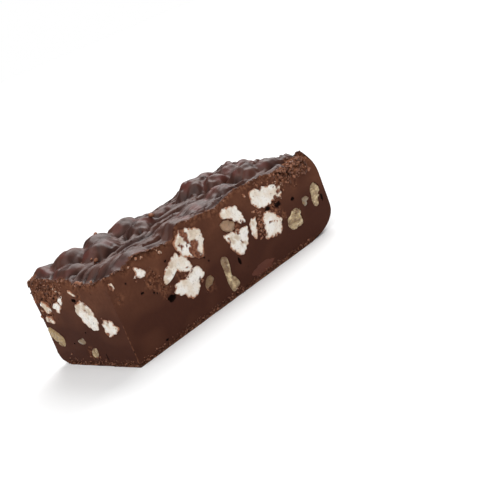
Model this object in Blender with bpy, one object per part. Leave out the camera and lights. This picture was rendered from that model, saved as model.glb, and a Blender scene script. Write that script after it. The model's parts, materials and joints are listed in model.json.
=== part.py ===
"""A bar of nut fudge cut from a tray: dark chocolate fudge, marshmallow and walnut chunks in its sides.

The bar lies along X. Its front side (-Y) and left end (-X) are knife cuts. Its back side (+Y) and right
end (+X) were cast against the rounded wall of the tray. Lengths below are in millimetres.
"""

import math
from collections import namedtuple

import bmesh
import bpy
from mathutils import Vector, noise

MM = 0.001
NAME = "nut_fudge"

# The bar.
LENGTH = 103.0
WIDTH = 42.6
HEIGHT = 30.0
HALF_LENGTH = LENGTH / 2
HALF_WIDTH = WIDTH / 2
CELL = 2.55
SIDE_ROWS = (1.5, 4.0, 9.0, 14.0, 19.0, 24.0, 27.0, 29.0)
BOTTOM_LEVEL = 0.02
ON_PLANE = 0.0005

# The side that the tray moulded.
TRAY_END_RUN = 16.0
TRAY_END_RISE = 8.0
TRAY_SIDE_RUN = 5.0
TRAY_SIDE_RISE = 4.5
TRAY_CORNER = 6.0
END_STATIONS = (47.6, 49.6, 50.8)
END_LEAN = 4.0
END_LEAN_FROM = 21.0
END_LEAN_RUN = 12.0

# The top skin: swells over sunken chunks, valleys between them, and long folds.
VALLEY_LEVEL = 30.2
# The dip in the back edge between the swells: its depth, its middle, its half length and where it starts.
BACK_DIP = 1.5
BACK_DIP_AT = 11.0
BACK_DIP_REACH = 12.0
BACK_DIP_SLOPE = 6.0
BACK_DIP_FROM = 8.0
SWELL_JOIN = 3.0
FOLD_SLOPE = 0.16
FOLD_TURN = 0.08
FOLD_BEND_AT = -30.0
FOLD_BEND = 12.0
FOLD_HEIGHT = 1.1
FOLD_LENGTH = 16.0
FOLD_WIDTH = 4.6
RIM_BLEND = 9.0
FRONT_BLEND = 5.0
LEFT_BLEND = 4.0

# The crumbly bands along the cut edges.
TOP_BAND = 4.5
FOOT_BAND = 1.6
CRAG_DEPTH = 0.9
CRAG_SIZE = 2.8
BAY_DEPTH = 2.4
BAY_LEVEL = 22.5
BAY_RISE = 13.0
BAY_REACH = 9.0
EDGE_ROLL = 1.6
EDGE_ROLL_DROP = 4.5
ROLL_CENTRE = -34.0
ROLL_REACH = 16.0

# The chunks.
GAP = 0.35
NEAR_GAP = 1.2
SUNK = 0.15
MARSHMALLOW_DEPTH = 1.0
WALNUT_DEPTH = 0.8
LUMP_UNEVENNESS = 0.05
OUTLINE_ROUNDING = (-10, -5, 0, 5, 10)
BIG_CHUNK = 4.2

Swell = namedtuple("Swell", "x y long wide turn rise")
SWELLS = (
    Swell(-38.8, 11.6, 8.2, 6.4, 15, 4.9),
    Swell(-45.5, 4.0, 5.8, 6.0, 20, 2.4),
    Swell(-31.6, 3.6, 9.2, 5.8, 18, 4.4),
    Swell(-27.4, 10.8, 8.8, 6.2, 8, 5.1),
    Swell(-14.0, 13.0, 8.6, 5.6, 5, 3.9),
    Swell(-12.5, 4.6, 7.0, 5.0, 12, 3.4),
    Swell(-0.8, 7.4, 5.0, 4.2, 10, 2.5),
    Swell(6.0, 12.2, 5.0, 4.4, 20, 1.0),
    Swell(18.6, 7.8, 8.6, 6.8, 8, 5.4),
    Swell(22.5, 0.4, 6.5, 4.4, 10, 4.4),
    Swell(12.5, -11.2, 8.4, 5.6, 8, 3.3),
    Swell(28.2, -8.8, 7.6, 6.0, 10, 4.5),
    Swell(36.5, -12.4, 6.0, 5.2, 10, 3.2),
    Swell(33.0, 3.6, 7.0, 5.6, -15, 4.1),
    Swell(41.0, 2.6, 5.6, 4.8, 0, 3.3),
    Swell(42.5, 11.7, 7.0, 6.0, 10, 2.6),
    Swell(29.5, 14.2, 6.5, 5.0, 0, 3.4),
    Swell(-4.0, 16.4, 5.0, 3.4, 0, 0.9),
    Swell(-38.0, -15.8, 10.5, 6.4, -4, 1.5),
    Swell(-15.4, -15.8, 8.0, 6.0, 12, 2.2),
    Swell(0.5, -10.4, 10.0, 7.4, 12, 1.9),
    Swell(-46.0, 15.6, 6.5, 6.5, 0, 2.8),
)

# Height of the cut rims, from end to end of the front side and across the left end.
FRONT_RIM = (
    (-51.5, 30.0),
    (-44.0, 29.6),
    (-37.4, 31.2),
    (-29.0, 29.6),
    (-22.7, 28.8),
    (-17.4, 32.4),
    (-10.6, 31.4),
    (-0.2, 30.3),
    (10.2, 32.0),
    (20.6, 31.3),
    (31.1, 29.9),
    (38.0, 29.3),
    (47.5, 29.5),
    (51.5, 31.3),
)
LEFT_RIM = (
    (-21.3, 30.0),
    (-13.5, 28.7),
    (-7.0, 28.5),
    (-2.0, 30.3),
    (6.4, 30.6),
    (11.4, 31.2),
    (16.4, 32.0),
    (21.3, 30.4),
)

# A chunk's outline on its side: the (along, up) places of its corners, in order round it.
Chunk = namedtuple("Chunk", "name side corners")
Pit = namedtuple("Pit", "side along up long short depth")

FRONT_MARSHMALLOWS = (
    (
        (15.4, 28.6), (18.2, 28.9), (20.1, 27.5), (22.3, 27.7), (25.6, 27.0), (28.5, 26.2), (31.0, 23.8),
        (30.4, 21.4), (28.0, 20.9), (25.7, 21.4), (23.8, 20.9), (19.7, 20.8), (16.8, 22.0), (15.0, 24.4),
    ),
    (
        (2.3, 28.4), (5.1, 28.2), (7.8, 27.0), (9.3, 23.4), (10.0, 20.4), (8.6, 19.9), (5.9, 21.8),
        (4.2, 23.8), (1.0, 25.4), (-1.0, 26.3), (0.3, 27.9),
    ),
    (
        (9.8, 18.7), (9.7, 17.2), (8.7, 15.0), (7.1, 13.1), (4.2, 11.2), (1.2, 11.7), (-0.6, 15.2),
        (-1.2, 18.2), (-2.4, 20.9), (0.8, 20.3), (3.8, 19.7), (7.7, 19.3),
    ),
    (
        (18.9, 19.3), (21.6, 19.2), (23.5, 17.6), (25.5, 15.1), (26.6, 13.1), (25.3, 11.7), (23.7, 9.8),
        (21.4, 9.6), (17.3, 10.4), (15.2, 11.6), (16.8, 13.5), (17.4, 15.8), (17.6, 18.0),
    ),
    (
        (12.3, 20.1), (14.8, 19.7), (15.0, 18.1), (13.6, 17.3), (13.1, 15.6), (12.5, 13.6), (11.7, 12.9),
        (10.7, 13.9), (10.2, 15.8), (10.6, 18.2),
    ),
    (
        (-18.6, 30.2), (-17.0, 30.5), (-14.3, 29.4), (-11.9, 28.4), (-10.1, 27.0), (-9.5, 24.2),
        (-11.0, 21.6), (-11.9, 18.9), (-14.2, 18.3), (-16.2, 20.2), (-18.8, 21.0), (-20.7, 22.5),
        (-22.6, 26.1), (-21.9, 27.7), (-20.3, 28.8),
    ),
    (
        (-23.1, 24.9), (-21.2, 23.3), (-18.8, 21.3), (-18.4, 19.3), (-18.7, 17.2), (-20.2, 17.0),
        (-21.6, 17.2), (-24.5, 19.2), (-26.9, 19.4), (-29.3, 18.6), (-30.5, 16.4), (-31.2, 17.6),
        (-31.1, 19.8), (-28.2, 22.3), (-25.6, 23.7),
    ),
    (
        (-17.1, 17.3), (-15.8, 17.0), (-15.2, 14.4), (-15.0, 12.7), (-17.6, 12.4), (-18.3, 10.9),
        (-19.6, 9.4), (-23.0, 8.3), (-24.4, 10.0), (-27.0, 12.3), (-29.5, 13.4), (-28.4, 14.6),
        (-27.4, 16.0), (-24.1, 16.1), (-21.9, 15.6), (-20.4, 17.0), (-18.6, 17.0),
    ),
    (
        (-39.4, 28.0), (-37.6, 27.2), (-35.9, 25.0), (-36.8, 23.4), (-39.2, 24.4), (-41.1, 25.0),
        (-39.8, 26.4),
    ),
    ((-50.2, 28.2), (-48.8, 27.6), (-48.6, 25.8), (-49.6, 24.8), (-50.6, 26.2)),
)
LEFT_MARSHMALLOWS = (
    (
        (-3.1, 22.8), (-5.6, 23.1), (-7.9, 21.7), (-9.2, 18.1), (-9.6, 16.0), (-8.4, 13.8), (-6.6, 12.5),
        (-4.1, 13.1), (-2.0, 14.9), (-0.2, 18.4), (0.4, 20.6), (-0.7, 21.8),
    ),
    (
        (-12.8, 16.3), (-15.6, 16.5), (-18.9, 13.7), (-17.8, 12.7), (-15.3, 11.4), (-11.9, 10.3),
        (-10.5, 11.4), (-11.2, 15.0),
    ),
    (
        (3.5, 25.5), (5.6, 23.4), (6.1, 21.9), (9.4, 19.0), (10.6, 19.8), (11.9, 21.3), (11.1, 22.4),
        (7.3, 23.6), (5.8, 25.6),
    ),
    ((18.2, 23.8), (15.5, 22.8), (13.7, 21.3), (14.1, 19.1), (16.2, 18.7), (17.5, 20.0), (18.6, 21.7)),
    ((19.0, 17.9), (15.6, 17.9), (14.5, 16.0), (14.8, 14.9), (16.9, 15.3), (19.1, 16.1)),
    ((0.1, 27.4), (-1.7, 27.0), (-3.5, 25.0), (-3.5, 24.1), (-2.2, 24.6), (-0.1, 26.3)),
)
BACK_MARSHMALLOWS = (
    (
        (-44.4, 20.4), (-41.2, 22.6), (-37.0, 24.8), (-33.0, 23.4), (-32.4, 19.6), (-35.2, 16.4),
        (-40.0, 15.4), (-43.8, 16.6),
    ),
    ((-24.8, 12.6), (-21.4, 14.6), (-18.0, 15.8), (-15.0, 13.6), (-15.4, 10.0), (-19.4, 8.8), (-23.6, 8.8)),
    ((-19.2, 24.6), (-15.6, 26.4), (-12.2, 25.4), (-12.6, 22.4), (-16.2, 21.2), (-19.0, 22.0)),
    (
        (-1.6, 20.6), (2.0, 23.0), (6.6, 24.2), (10.0, 21.8), (9.4, 17.4), (5.6, 14.4), (1.6, 15.6),
        (-1.4, 17.4),
    ),
    ((10.8, 10.6), (14.2, 12.6), (17.8, 13.6), (19.2, 10.4), (16.6, 7.4), (12.4, 6.8)),
    (
        (21.4, 22.4), (24.2, 24.6), (28.4, 26.0), (32.4, 24.2), (32.2, 20.4), (28.8, 18.6), (24.4, 18.6),
        (21.8, 19.8),
    ),
    ((33.8, 14.2), (36.2, 16.4), (40.0, 15.4), (42.2, 13.0), (40.2, 9.8), (36.4, 10.6)),
)
RIGHT_MARSHMALLOWS = (((1.2, 16.8), (3.8, 18.8), (7.2, 19.4), (9.0, 17.0), (7.2, 14.9), (3.4, 13.8)),)

FRONT_WALNUTS = (
    (
        (-1.6, 24.5), (0.4, 24.9), (2.7, 24.3), (4.6, 22.9), (5.0, 21.5), (4.1, 20.3), (2.2, 20.2),
        (-0.1, 21.1), (-1.7, 22.9),
    ),
    (
        (-14.4, 12.0), (-12.8, 11.9), (-11.8, 10.4), (-13.0, 9.1), (-16.2, 8.1), (-16.8, 9.4),
        (-15.6, 11.1),
    ),
    (
        (-7.0, 14.4), (-5.3, 14.7), (-3.6, 13.8), (-3.5, 12.0), (-4.1, 10.0), (-4.5, 7.6), (-4.3, 6.1),
        (-2.1, 4.9), (-2.2, 3.4), (-4.6, 2.3), (-6.2, 1.9), (-7.0, 3.5), (-7.3, 5.6), (-7.2, 8.5),
        (-7.0, 11.7),
    ),
    (
        (30.6, 13.0), (31.8, 14.3), (34.7, 14.2), (36.6, 12.4), (35.2, 11.4), (35.9, 9.7), (35.2, 7.8),
        (32.2, 7.6), (29.4, 7.7), (27.7, 9.9), (28.4, 12.4),
    ),
    (
        (46.3, 18.6), (48.2, 18.1), (49.1, 16.4), (48.9, 14.7), (47.5, 14.4), (47.8, 13.1), (46.2, 12.3),
        (46.4, 10.8), (45.4, 9.9), (44.2, 10.2), (43.1, 11.8), (43.5, 13.9), (44.0, 16.4), (44.8, 18.1),
    ),
    (
        (38.6, 16.0), (41.3, 15.9), (42.3, 14.7), (40.8, 13.9), (40.3, 12.7), (38.9, 12.6),
        (38.1, 14.1),
    ),
)
LEFT_WALNUTS = (
    (
        (20.8, 14.1), (18.6, 13.8), (15.6, 11.9), (13.6, 10.0), (13.8, 8.1), (15.2, 6.6), (17.2, 7.0),
        (19.4, 8.6), (20.9, 10.4), (21.1, 12.4),
    ),
    ((5.9, 9.3), (2.9, 10.2), (1.8, 8.6), (2.9, 7.8), (5.8, 7.8), (6.6, 8.6)),
    ((1.0, 5.6), (-0.8, 6.6), (-2.3, 6.4), (-1.9, 4.2), (-0.4, 2.5), (0.8, 2.8), (1.2, 3.8)),
)
BACK_WALNUTS = (
    ((-33.8, 9.4), (-31.4, 10.8), (-28.2, 11.8), (-26.8, 9.8), (-28.8, 7.9), (-32.0, 6.4)),
    ((-8.8, 10.6), (-6.6, 12.0), (-4.0, 12.4), (-3.2, 10.4), (-5.4, 8.8), (-8.0, 8.4)),
    ((30.6, 8.6), (32.8, 9.8), (35.0, 9.0), (34.6, 7.0), (31.6, 6.6)),
    ((41.2, 21.8), (43.4, 23.0), (46.0, 21.2), (45.4, 18.8), (42.6, 19.2)),
)
RIGHT_WALNUTS = (
    ((-11.6, 16.8), (-9.2, 18.4), (-6.4, 19.0), (-6.0, 16.6), (-8.2, 15.2), (-10.6, 14.4)),
    ((9.6, 12.8), (11.4, 14.6), (13.6, 14.4), (13.4, 12.2), (11.2, 10.8)),
)

PITS = (
    Pit("front", -30.4, 13.1, 1.5, 0.8, 1.4),
    Pit("front", 0.8, 9.9, 0.6, 1.0, 1.2),
    Pit("front", 34.2, 17.8, 0.9, 0.6, 1.0),
    Pit("front", 26.6, 19.2, 1.6, 1.0, 1.4),
    Pit("front", 21.3, 19.7, 1.5, 0.7, 1.0),
    Pit("front", 48.6, 12.0, 0.7, 1.5, 0.9),
    Pit("left", -0.6, 23.4, 1.2, 0.6, 1.3),
)

# Each side: a point on its plane, the direction along it, and its outward normal. Up is always +Z.
Side = namedtuple("Side", "point along normal")
SIDES = {
    "front": Side(Vector((0, -HALF_WIDTH, 0)), Vector((1, 0, 0)), Vector((0, -1, 0))),
    "left": Side(Vector((-HALF_LENGTH, 0, 0)), Vector((0, 1, 0)), Vector((-1, 0, 0))),
    "back": Side(Vector((0, HALF_WIDTH, 0)), Vector((1, 0, 0)), Vector((0, 1, 0))),
    "right": Side(Vector((HALF_LENGTH, 0, 0)), Vector((0, 1, 0)), Vector((1, 0, 0))),
}
UP = Vector((0, 0, 1))


def clear_scene():
    for obj in list(bpy.data.objects):
        bpy.data.objects.remove(obj, do_unlink=True)


def smooth_step(value):
    """0 below 0, 1 above 1, and smooth between them."""
    value = min(max(value, 0.0), 1.0)
    return value * value * (3 - 2 * value)


def along_stations(stations, place):
    """The height at a place, eased from each station to the next."""
    for (start, low), (end, high) in zip(stations, stations[1:]):
        if place <= end:
            return low + (high - low) * smooth_step((place - start) / (end - start))
    return stations[-1][1]


def arc_rise(past, run, rise):
    """How far a quarter ellipse has risen at a distance past its start."""
    reach = min(max(past / run, 0.0), 1.0)
    return rise * (1 - math.sqrt(1 - reach * reach))


def swell_height(swell, x, y):
    turn = math.radians(swell.turn)
    dx = x - swell.x
    dy = y - swell.y
    p = (dx * math.cos(turn) + dy * math.sin(turn)) / swell.long
    q = (dy * math.cos(turn) - dx * math.sin(turn)) / swell.wide
    return swell.rise * max(0.0, 1 - p * p - q * q)


def drift(x, y, size, seed):
    """Smooth noise over the plan, from about -1 to 1."""
    return noise.noise(Vector((x / size, y / size, seed)))


def swells_level(x, y):
    """All swells together, their outlines uneven, the skin stretched between those that touch."""
    bent_x = x + 2.0 * drift(x, y, 7, 21.0)
    bent_y = y + 1.6 * drift(x, y, 6, 27.0)
    total = sum(swell_height(swell, bent_x, bent_y) ** SWELL_JOIN for swell in SWELLS)
    return total ** (1 / SWELL_JOIN)


def folds(x, y):
    """Relief of the widest folds, which run along the bar: round crests with grooves between them."""
    bend = (x - FOLD_BEND_AT) / FOLD_BEND
    across = y - FOLD_SLOPE * x + FOLD_TURN * FOLD_BEND * math.log(math.cosh(bend)) + 1.6 * drift(x, y, 9, 5.0)
    along = x + 2.5 * drift(x, y, 15, 9.0)
    crests = abs(noise.noise(Vector((along / FOLD_LENGTH, across / FOLD_WIDTH, 12.0))))
    return FOLD_HEIGHT * (crests - 0.2)


def back_dip(x, y):
    """How far the skin sinks towards the back edge between the swells."""
    along = smooth_step((BACK_DIP_REACH - abs(x - BACK_DIP_AT)) / BACK_DIP_SLOPE)
    return BACK_DIP * along * smooth_step((y - BACK_DIP_FROM) / (HALF_WIDTH - BACK_DIP_FROM))


def top_level(x, y):
    """Height of the skin over a place on the plan."""
    from_front = y + HALF_WIDTH
    from_left = x + HALF_LENGTH
    front = smooth_step(from_front / RIM_BLEND)
    left = smooth_step(from_left / RIM_BLEND)
    level = along_stations(FRONT_RIM, x) * (1 - front) + VALLEY_LEVEL * front
    level = along_stations(LEFT_RIM, y) * (1 - left) + level * left
    raised = smooth_step(from_front / FRONT_BLEND) * smooth_step(from_left / LEFT_BLEND)
    return level + (swells_level(x, y) + folds(x, y)) * raised - back_dip(x, y)


def rounded_corner(x, y):
    """The plan's square corner drawn in to the tray's round one."""
    dx = x - (HALF_LENGTH - TRAY_CORNER)
    dy = y - (HALF_WIDTH - TRAY_CORNER)
    if dx <= 0 or dy <= 0:
        return x, y
    shrink = max(dx, dy) / math.hypot(dx, dy)
    return x - dx * (1 - shrink), y - dy * (1 - shrink)


def crag(point, spread):
    """0 to 1, craggy from place to place."""
    return max(0.0, 0.35 + noise.noise(point / spread))


def formed(co):
    """A point of the plain block moved to its place on the bar."""
    x, y, z = co
    lift_end = arc_rise(x - (HALF_LENGTH - TRAY_END_RUN), TRAY_END_RUN, TRAY_END_RISE)
    lift_side = arc_rise(y - (HALF_WIDTH - TRAY_SIDE_RUN), TRAY_SIDE_RUN, TRAY_SIDE_RISE)
    foot = math.hypot(lift_end, lift_side)
    top = top_level(x, y)
    height = foot + (z / HEIGHT) * (top - foot)
    at_rim = smooth_step((height - (top - TOP_BAND)) / TOP_BAND)
    at_foot = smooth_step((FOOT_BAND - height) / FOOT_BAND) if height > BOTTOM_LEVEL else 1.0
    rough = CRAG_DEPTH * crag(Vector((x, y, height)), CRAG_SIZE) * max(at_rim, 0.5 * at_foot)
    place = Vector((x, y, height))
    if y <= -HALF_WIDTH + BOTTOM_LEVEL:
        rolled = smooth_step(1 - abs(x - ROLL_CENTRE) / ROLL_REACH)
        place.y += rough + EDGE_ROLL * rolled * max(0.0, 1 - (top - height) / EDGE_ROLL_DROP) ** 2
    if x <= -HALF_LENGTH + BOTTOM_LEVEL:
        place.x += rough
    if y >= HALF_WIDTH - BOTTOM_LEVEL:
        bay = smooth_step(1 - (x + HALF_LENGTH) / BAY_REACH)
        bay *= smooth_step(1 - abs(height - BAY_LEVEL) / BAY_RISE)
        place.y -= 0.5 * rough + BAY_DEPTH * bay
    lean = max(0.0, (height - END_LEAN_FROM) / (HEIGHT - END_LEAN_FROM))
    near_end = smooth_step((x - (HALF_LENGTH - END_LEAN_RUN)) / END_LEAN_RUN)
    place.x -= END_LEAN * min(lean, 1.1) ** 2 * near_end
    place.x, place.y = rounded_corner(place.x, place.y)
    return place


def stations_across(half):
    count = round(2 * half / CELL)
    return [-half + 2 * half * step / count for step in range(1, count)]


def bar_mesh():
    """The block cut into cells, each corner moved to its place on the bar, each flat stretch one face."""
    bm = bmesh.new()
    bmesh.ops.create_cube(bm, size=1.0)
    bmesh.ops.scale(bm, vec=(LENGTH, WIDTH, HEIGHT), verts=bm.verts)
    bmesh.ops.translate(bm, vec=(0, 0, HEIGHT / 2), verts=bm.verts)
    cuts = [(Vector((x, 0, 0)), Vector((1, 0, 0))) for x in stations_across(HALF_LENGTH)]
    cuts += [(Vector((x, 0, 0)), Vector((1, 0, 0))) for x in END_STATIONS]
    cuts += [(Vector((0, y, 0)), Vector((0, 1, 0))) for y in stations_across(HALF_WIDTH)]
    cuts += [(Vector((0, 0, z)), UP) for z in SIDE_ROWS]
    for point, normal in cuts:
        geometry = list(bm.verts) + list(bm.edges) + list(bm.faces)
        bmesh.ops.bisect_plane(bm, geom=geometry, plane_co=point, plane_no=normal)
    for vert in bm.verts:
        vert.co = formed(vert.co)
    planes = [(side.point, side.normal) for side in SIDES.values()]
    for point, normal in planes + [(Vector((0, 0, 0)), UP)]:
        flat = [
            face
            for face in bm.faces
            if all(abs((vert.co - point).dot(normal)) < ON_PLANE for vert in face.verts)
        ]
        bmesh.ops.dissolve_faces(bm, faces=flat, use_verts=True)
    bmesh.ops.triangulate(bm, faces=bm.faces, ngon_method="BEAUTY")
    face_out(bm)
    return bm


def face_out(bm):
    """The closed mesh's faces made to agree and to point outwards."""
    bmesh.ops.recalc_face_normals(bm, faces=bm.faces)
    if bm.calc_volume(signed=True) < 0:
        bmesh.ops.reverse_faces(bm, faces=bm.faces)


def edge_reach(start, end, centre, direction):
    """How far one edge of an outline is from the centre in a direction, or 0 where it isn't met."""
    run = end - start
    across = direction.x * run.y - direction.y * run.x
    if abs(across) < 1e-9:
        return 0.0
    offset = start - centre
    far = (offset.x * run.y - offset.y * run.x) / across
    share = (offset.x * direction.y - offset.y * direction.x) / across
    return far if far > 0 and -1e-6 <= share <= 1 + 1e-6 else 0.0


def outline_reach(chunk, centre, angle):
    """The outline's distance from the centre, with its corners rounded over a few degrees to each side."""
    points = [Vector(corner) for corner in chunk.corners]
    total = 0.0
    for step in OUTLINE_ROUNDING:
        turned = angle + math.radians(step)
        direction = Vector((math.cos(turned), math.sin(turned)))
        total += max(
            edge_reach(start, end, centre, direction) for start, end in zip(points, points[1:] + points[:1])
        )
    return total / len(OUTLINE_ROUNDING)


def outline_area(chunk):
    """Twice the outline's signed area, and its middle."""
    total = 0.0
    middle = Vector((0.0, 0.0))
    for start, end in zip(chunk.corners, chunk.corners[1:] + chunk.corners[:1]):
        cross = start[0] * end[1] - end[0] * start[1]
        total += cross
        middle += Vector((start[0] + end[0], start[1] + end[1])) * cross
    return total, middle / (3 * total)


def lump_mesh(chunk, grown=0.0):
    """A closed lump whose section at the side's plane has the chunk's outline."""
    side = SIDES[chunk.side]
    area, centre = outline_area(chunk)
    share = WALNUT_DEPTH if chunk.name.startswith("walnut") else MARSHMALLOW_DEPTH
    depth = share * math.sqrt(abs(area) / math.tau)
    spread = max((Vector(corner) - centre).length for corner in chunk.corners)
    segments = 16 if spread > BIG_CHUNK else 12
    seed = Vector((centre.x, centre.y, 7.0 * len(chunk.corners)))
    bm = bmesh.new()
    bmesh.ops.create_uvsphere(bm, u_segments=segments, v_segments=segments // 2 - 1, radius=1.0)
    for vert in bm.verts:
        ring = math.hypot(vert.co.x, vert.co.y)
        angle = math.atan2(vert.co.y, vert.co.x)
        uneven = 1 + LUMP_UNEVENNESS * noise.noise(seed + 1.5 * vert.co)
        reach = (outline_reach(chunk, centre, angle) * uneven + grown) * ring if ring > 1e-6 else 0.0
        along = centre.x + reach * math.cos(angle)
        up = centre.y + reach * math.sin(angle)
        out = (depth * uneven + grown) * vert.co.z - SUNK * depth
        vert.co = side.point + side.along * along + UP * up + side.normal * out
    face_out(bm)
    return bm


def cut_flush(bm):
    """Everything outside the bar's four side planes cut away and each cut closed."""
    for side in SIDES.values():
        geometry = list(bm.verts) + list(bm.edges) + list(bm.faces)
        cut = bmesh.ops.bisect_plane(
            bm, geom=geometry, plane_co=side.point, plane_no=side.normal, clear_outer=True
        )
        edges = [item for item in cut["geom_cut"] if isinstance(item, bmesh.types.BMEdge)]
        if edges:
            bmesh.ops.holes_fill(bm, edges=edges, sides=0)
    bmesh.ops.triangulate(bm, faces=[face for face in bm.faces if len(face.verts) > 4])
    face_out(bm)


def pit_mesh(pit):
    """A small rough hollow's cutter."""
    side = SIDES[pit.side]
    bm = bmesh.new()
    bmesh.ops.create_icosphere(bm, subdivisions=1, radius=1.0)
    for vert in bm.verts:
        along = pit.along + pit.long * vert.co.x
        up = pit.up + pit.short * vert.co.y
        vert.co = side.point + side.along * along + UP * up + side.normal * pit.depth * vert.co.z
    face_out(bm)
    return bm


def new_object(name, bm, collection):
    """The mesh, worked in millimetres, as an object in metres."""
    bmesh.ops.scale(bm, vec=(MM, MM, MM), verts=bm.verts)
    mesh = bpy.data.meshes.new(name)
    bm.to_mesh(mesh)
    bm.free()
    obj = bpy.data.objects.new(name, mesh)
    collection.objects.link(obj)
    return obj


def new_cutter(name, bm, collection):
    cutter = new_object(name, bm, collection)
    cutter.hide_render = True
    cutter.display_type = "WIRE"
    return cutter


def new_collection(name):
    collection = bpy.data.collections.new(name)
    bpy.context.scene.collection.children.link(collection)
    return collection


def new_material(name, colour, roughness):
    material = bpy.data.materials.new(name)
    material.use_nodes = True
    shader = material.node_tree.nodes["Principled BSDF"]
    shader.inputs["Base Color"].default_value = (*colour, 1.0)
    shader.inputs["Roughness"].default_value = roughness
    shader.inputs["Metallic"].default_value = 0.0
    material.diffuse_color = (*colour, 1.0)
    return material


def apply_boolean(obj, cutters):
    """The cutters' collection taken from the object, which keeps the result as its own mesh."""
    modifier = obj.modifiers.new("Pockets", "BOOLEAN")
    modifier.operation = "DIFFERENCE"
    modifier.solver = "EXACT"
    modifier.operand_type = "COLLECTION"
    modifier.collection = cutters
    graph = bpy.context.evaluated_depsgraph_get()
    mesh = bpy.data.meshes.new_from_object(obj.evaluated_get(graph))
    obj.modifiers.clear()
    obj.data = mesh


def keep_largest_island(obj):
    """Loose scraps that a cut left behind are dropped. Faces belong together where they share an edge."""
    bm = bmesh.new()
    bm.from_mesh(obj.data)
    left = set(bm.faces)
    islands = []
    while left:
        stack = [left.pop()]
        island = set(stack)
        while stack:
            for edge in stack.pop().edges:
                for face in edge.link_faces:
                    if face in left:
                        left.discard(face)
                        island.add(face)
                        stack.append(face)
        islands.append(island)
    islands.sort(key=len, reverse=True)
    for island in islands[1:]:
        bmesh.ops.delete(bm, geom=list(island), context="FACES")
    bm.to_mesh(obj.data)
    bm.free()


def chunks_of(kind, *rows):
    """Each outline as a named chunk, numbered on from side to side."""
    chunks = []
    for side, outlines in rows:
        for corners in outlines:
            chunks.append(Chunk(f"{kind}_{len(chunks) + 1:02d}", side, corners))
    return chunks


def near(first, second):
    """Whether two chunks on one side come close enough for one to need a cut."""
    if first.side != second.side:
        return False
    for axis in (0, 1):
        firsts = [corner[axis] for corner in first.corners]
        seconds = [corner[axis] for corner in second.corners]
        if min(firsts) > max(seconds) + NEAR_GAP or min(seconds) > max(firsts) + NEAR_GAP:
            return False
    return True


def give_way(chunk, obj, placed):
    """A soft chunk dented by the chunks placed before it that it would touch."""
    neighbours = [other for other in placed if near(chunk, other)]
    if not neighbours:
        return
    cutters = new_collection(chunk.name + "_neighbours")
    for other in neighbours:
        new_cutter(other.name + "_room", lump_mesh(other, GAP), cutters)
    apply_boolean(obj, cutters)
    keep_largest_island(obj)
    remove_collection(cutters)


def remove_collection(collection):
    for obj in list(collection.objects):
        bpy.data.objects.remove(obj, do_unlink=True)
    bpy.data.collections.remove(collection)


def main():
    clear_scene()
    parts = new_collection(NAME)
    cutters = new_collection("cutters")
    fudge_brown = new_material("fudge", (0.055, 0.021, 0.014), 0.5)
    marshmallow_white = new_material("marshmallow", (0.72, 0.66, 0.58), 0.8)
    walnut_tan = new_material("walnut", (0.42, 0.28, 0.14), 0.6)

    walnuts = chunks_of(
        "walnut",
        ("front", FRONT_WALNUTS),
        ("left", LEFT_WALNUTS),
        ("back", BACK_WALNUTS),
        ("right", RIGHT_WALNUTS),
    )
    marshmallows = chunks_of(
        "marshmallow",
        ("front", FRONT_MARSHMALLOWS),
        ("left", LEFT_MARSHMALLOWS),
        ("back", BACK_MARSHMALLOWS),
        ("right", RIGHT_MARSHMALLOWS),
    )

    placed = []
    for chunk in walnuts + marshmallows:
        bm = lump_mesh(chunk)
        cut_flush(bm)
        obj = new_object(chunk.name, bm, parts)
        obj.data.materials.append(walnut_tan if chunk in walnuts else marshmallow_white)
        give_way(chunk, obj, placed)
        placed.append(chunk)
        new_cutter(chunk.name + "_pocket", lump_mesh(chunk, GAP), cutters)
    for number, pit in enumerate(PITS, start=1):
        new_cutter(f"pit_{number:02d}", pit_mesh(pit), cutters)

    fudge = new_object("fudge", bar_mesh(), parts)
    fudge.data.materials.append(fudge_brown)
    apply_boolean(fudge, cutters)
    keep_largest_island(fudge)
    remove_collection(cutters)

    for obj in parts.objects:
        obj.data.shade_smooth()
        obj.data.set_sharp_from_angle(angle=math.radians(40))


if __name__ == "__main__":
    main()
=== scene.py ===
"""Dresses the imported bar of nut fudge: skin, cuts, marshmallow, walnut and crumbs, on a pale studio floor.

The bar lies along X, with its knife-cut sides towards -Y and -X and its tray-moulded sides towards +Y and
+X. Shapes are worked in millimetres and scaled to metres when a mesh is finished.
"""

import json
import math
import random
from collections import namedtuple
from functools import lru_cache

import bmesh
import bpy
from mathutils import Matrix, Vector, noise

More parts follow.
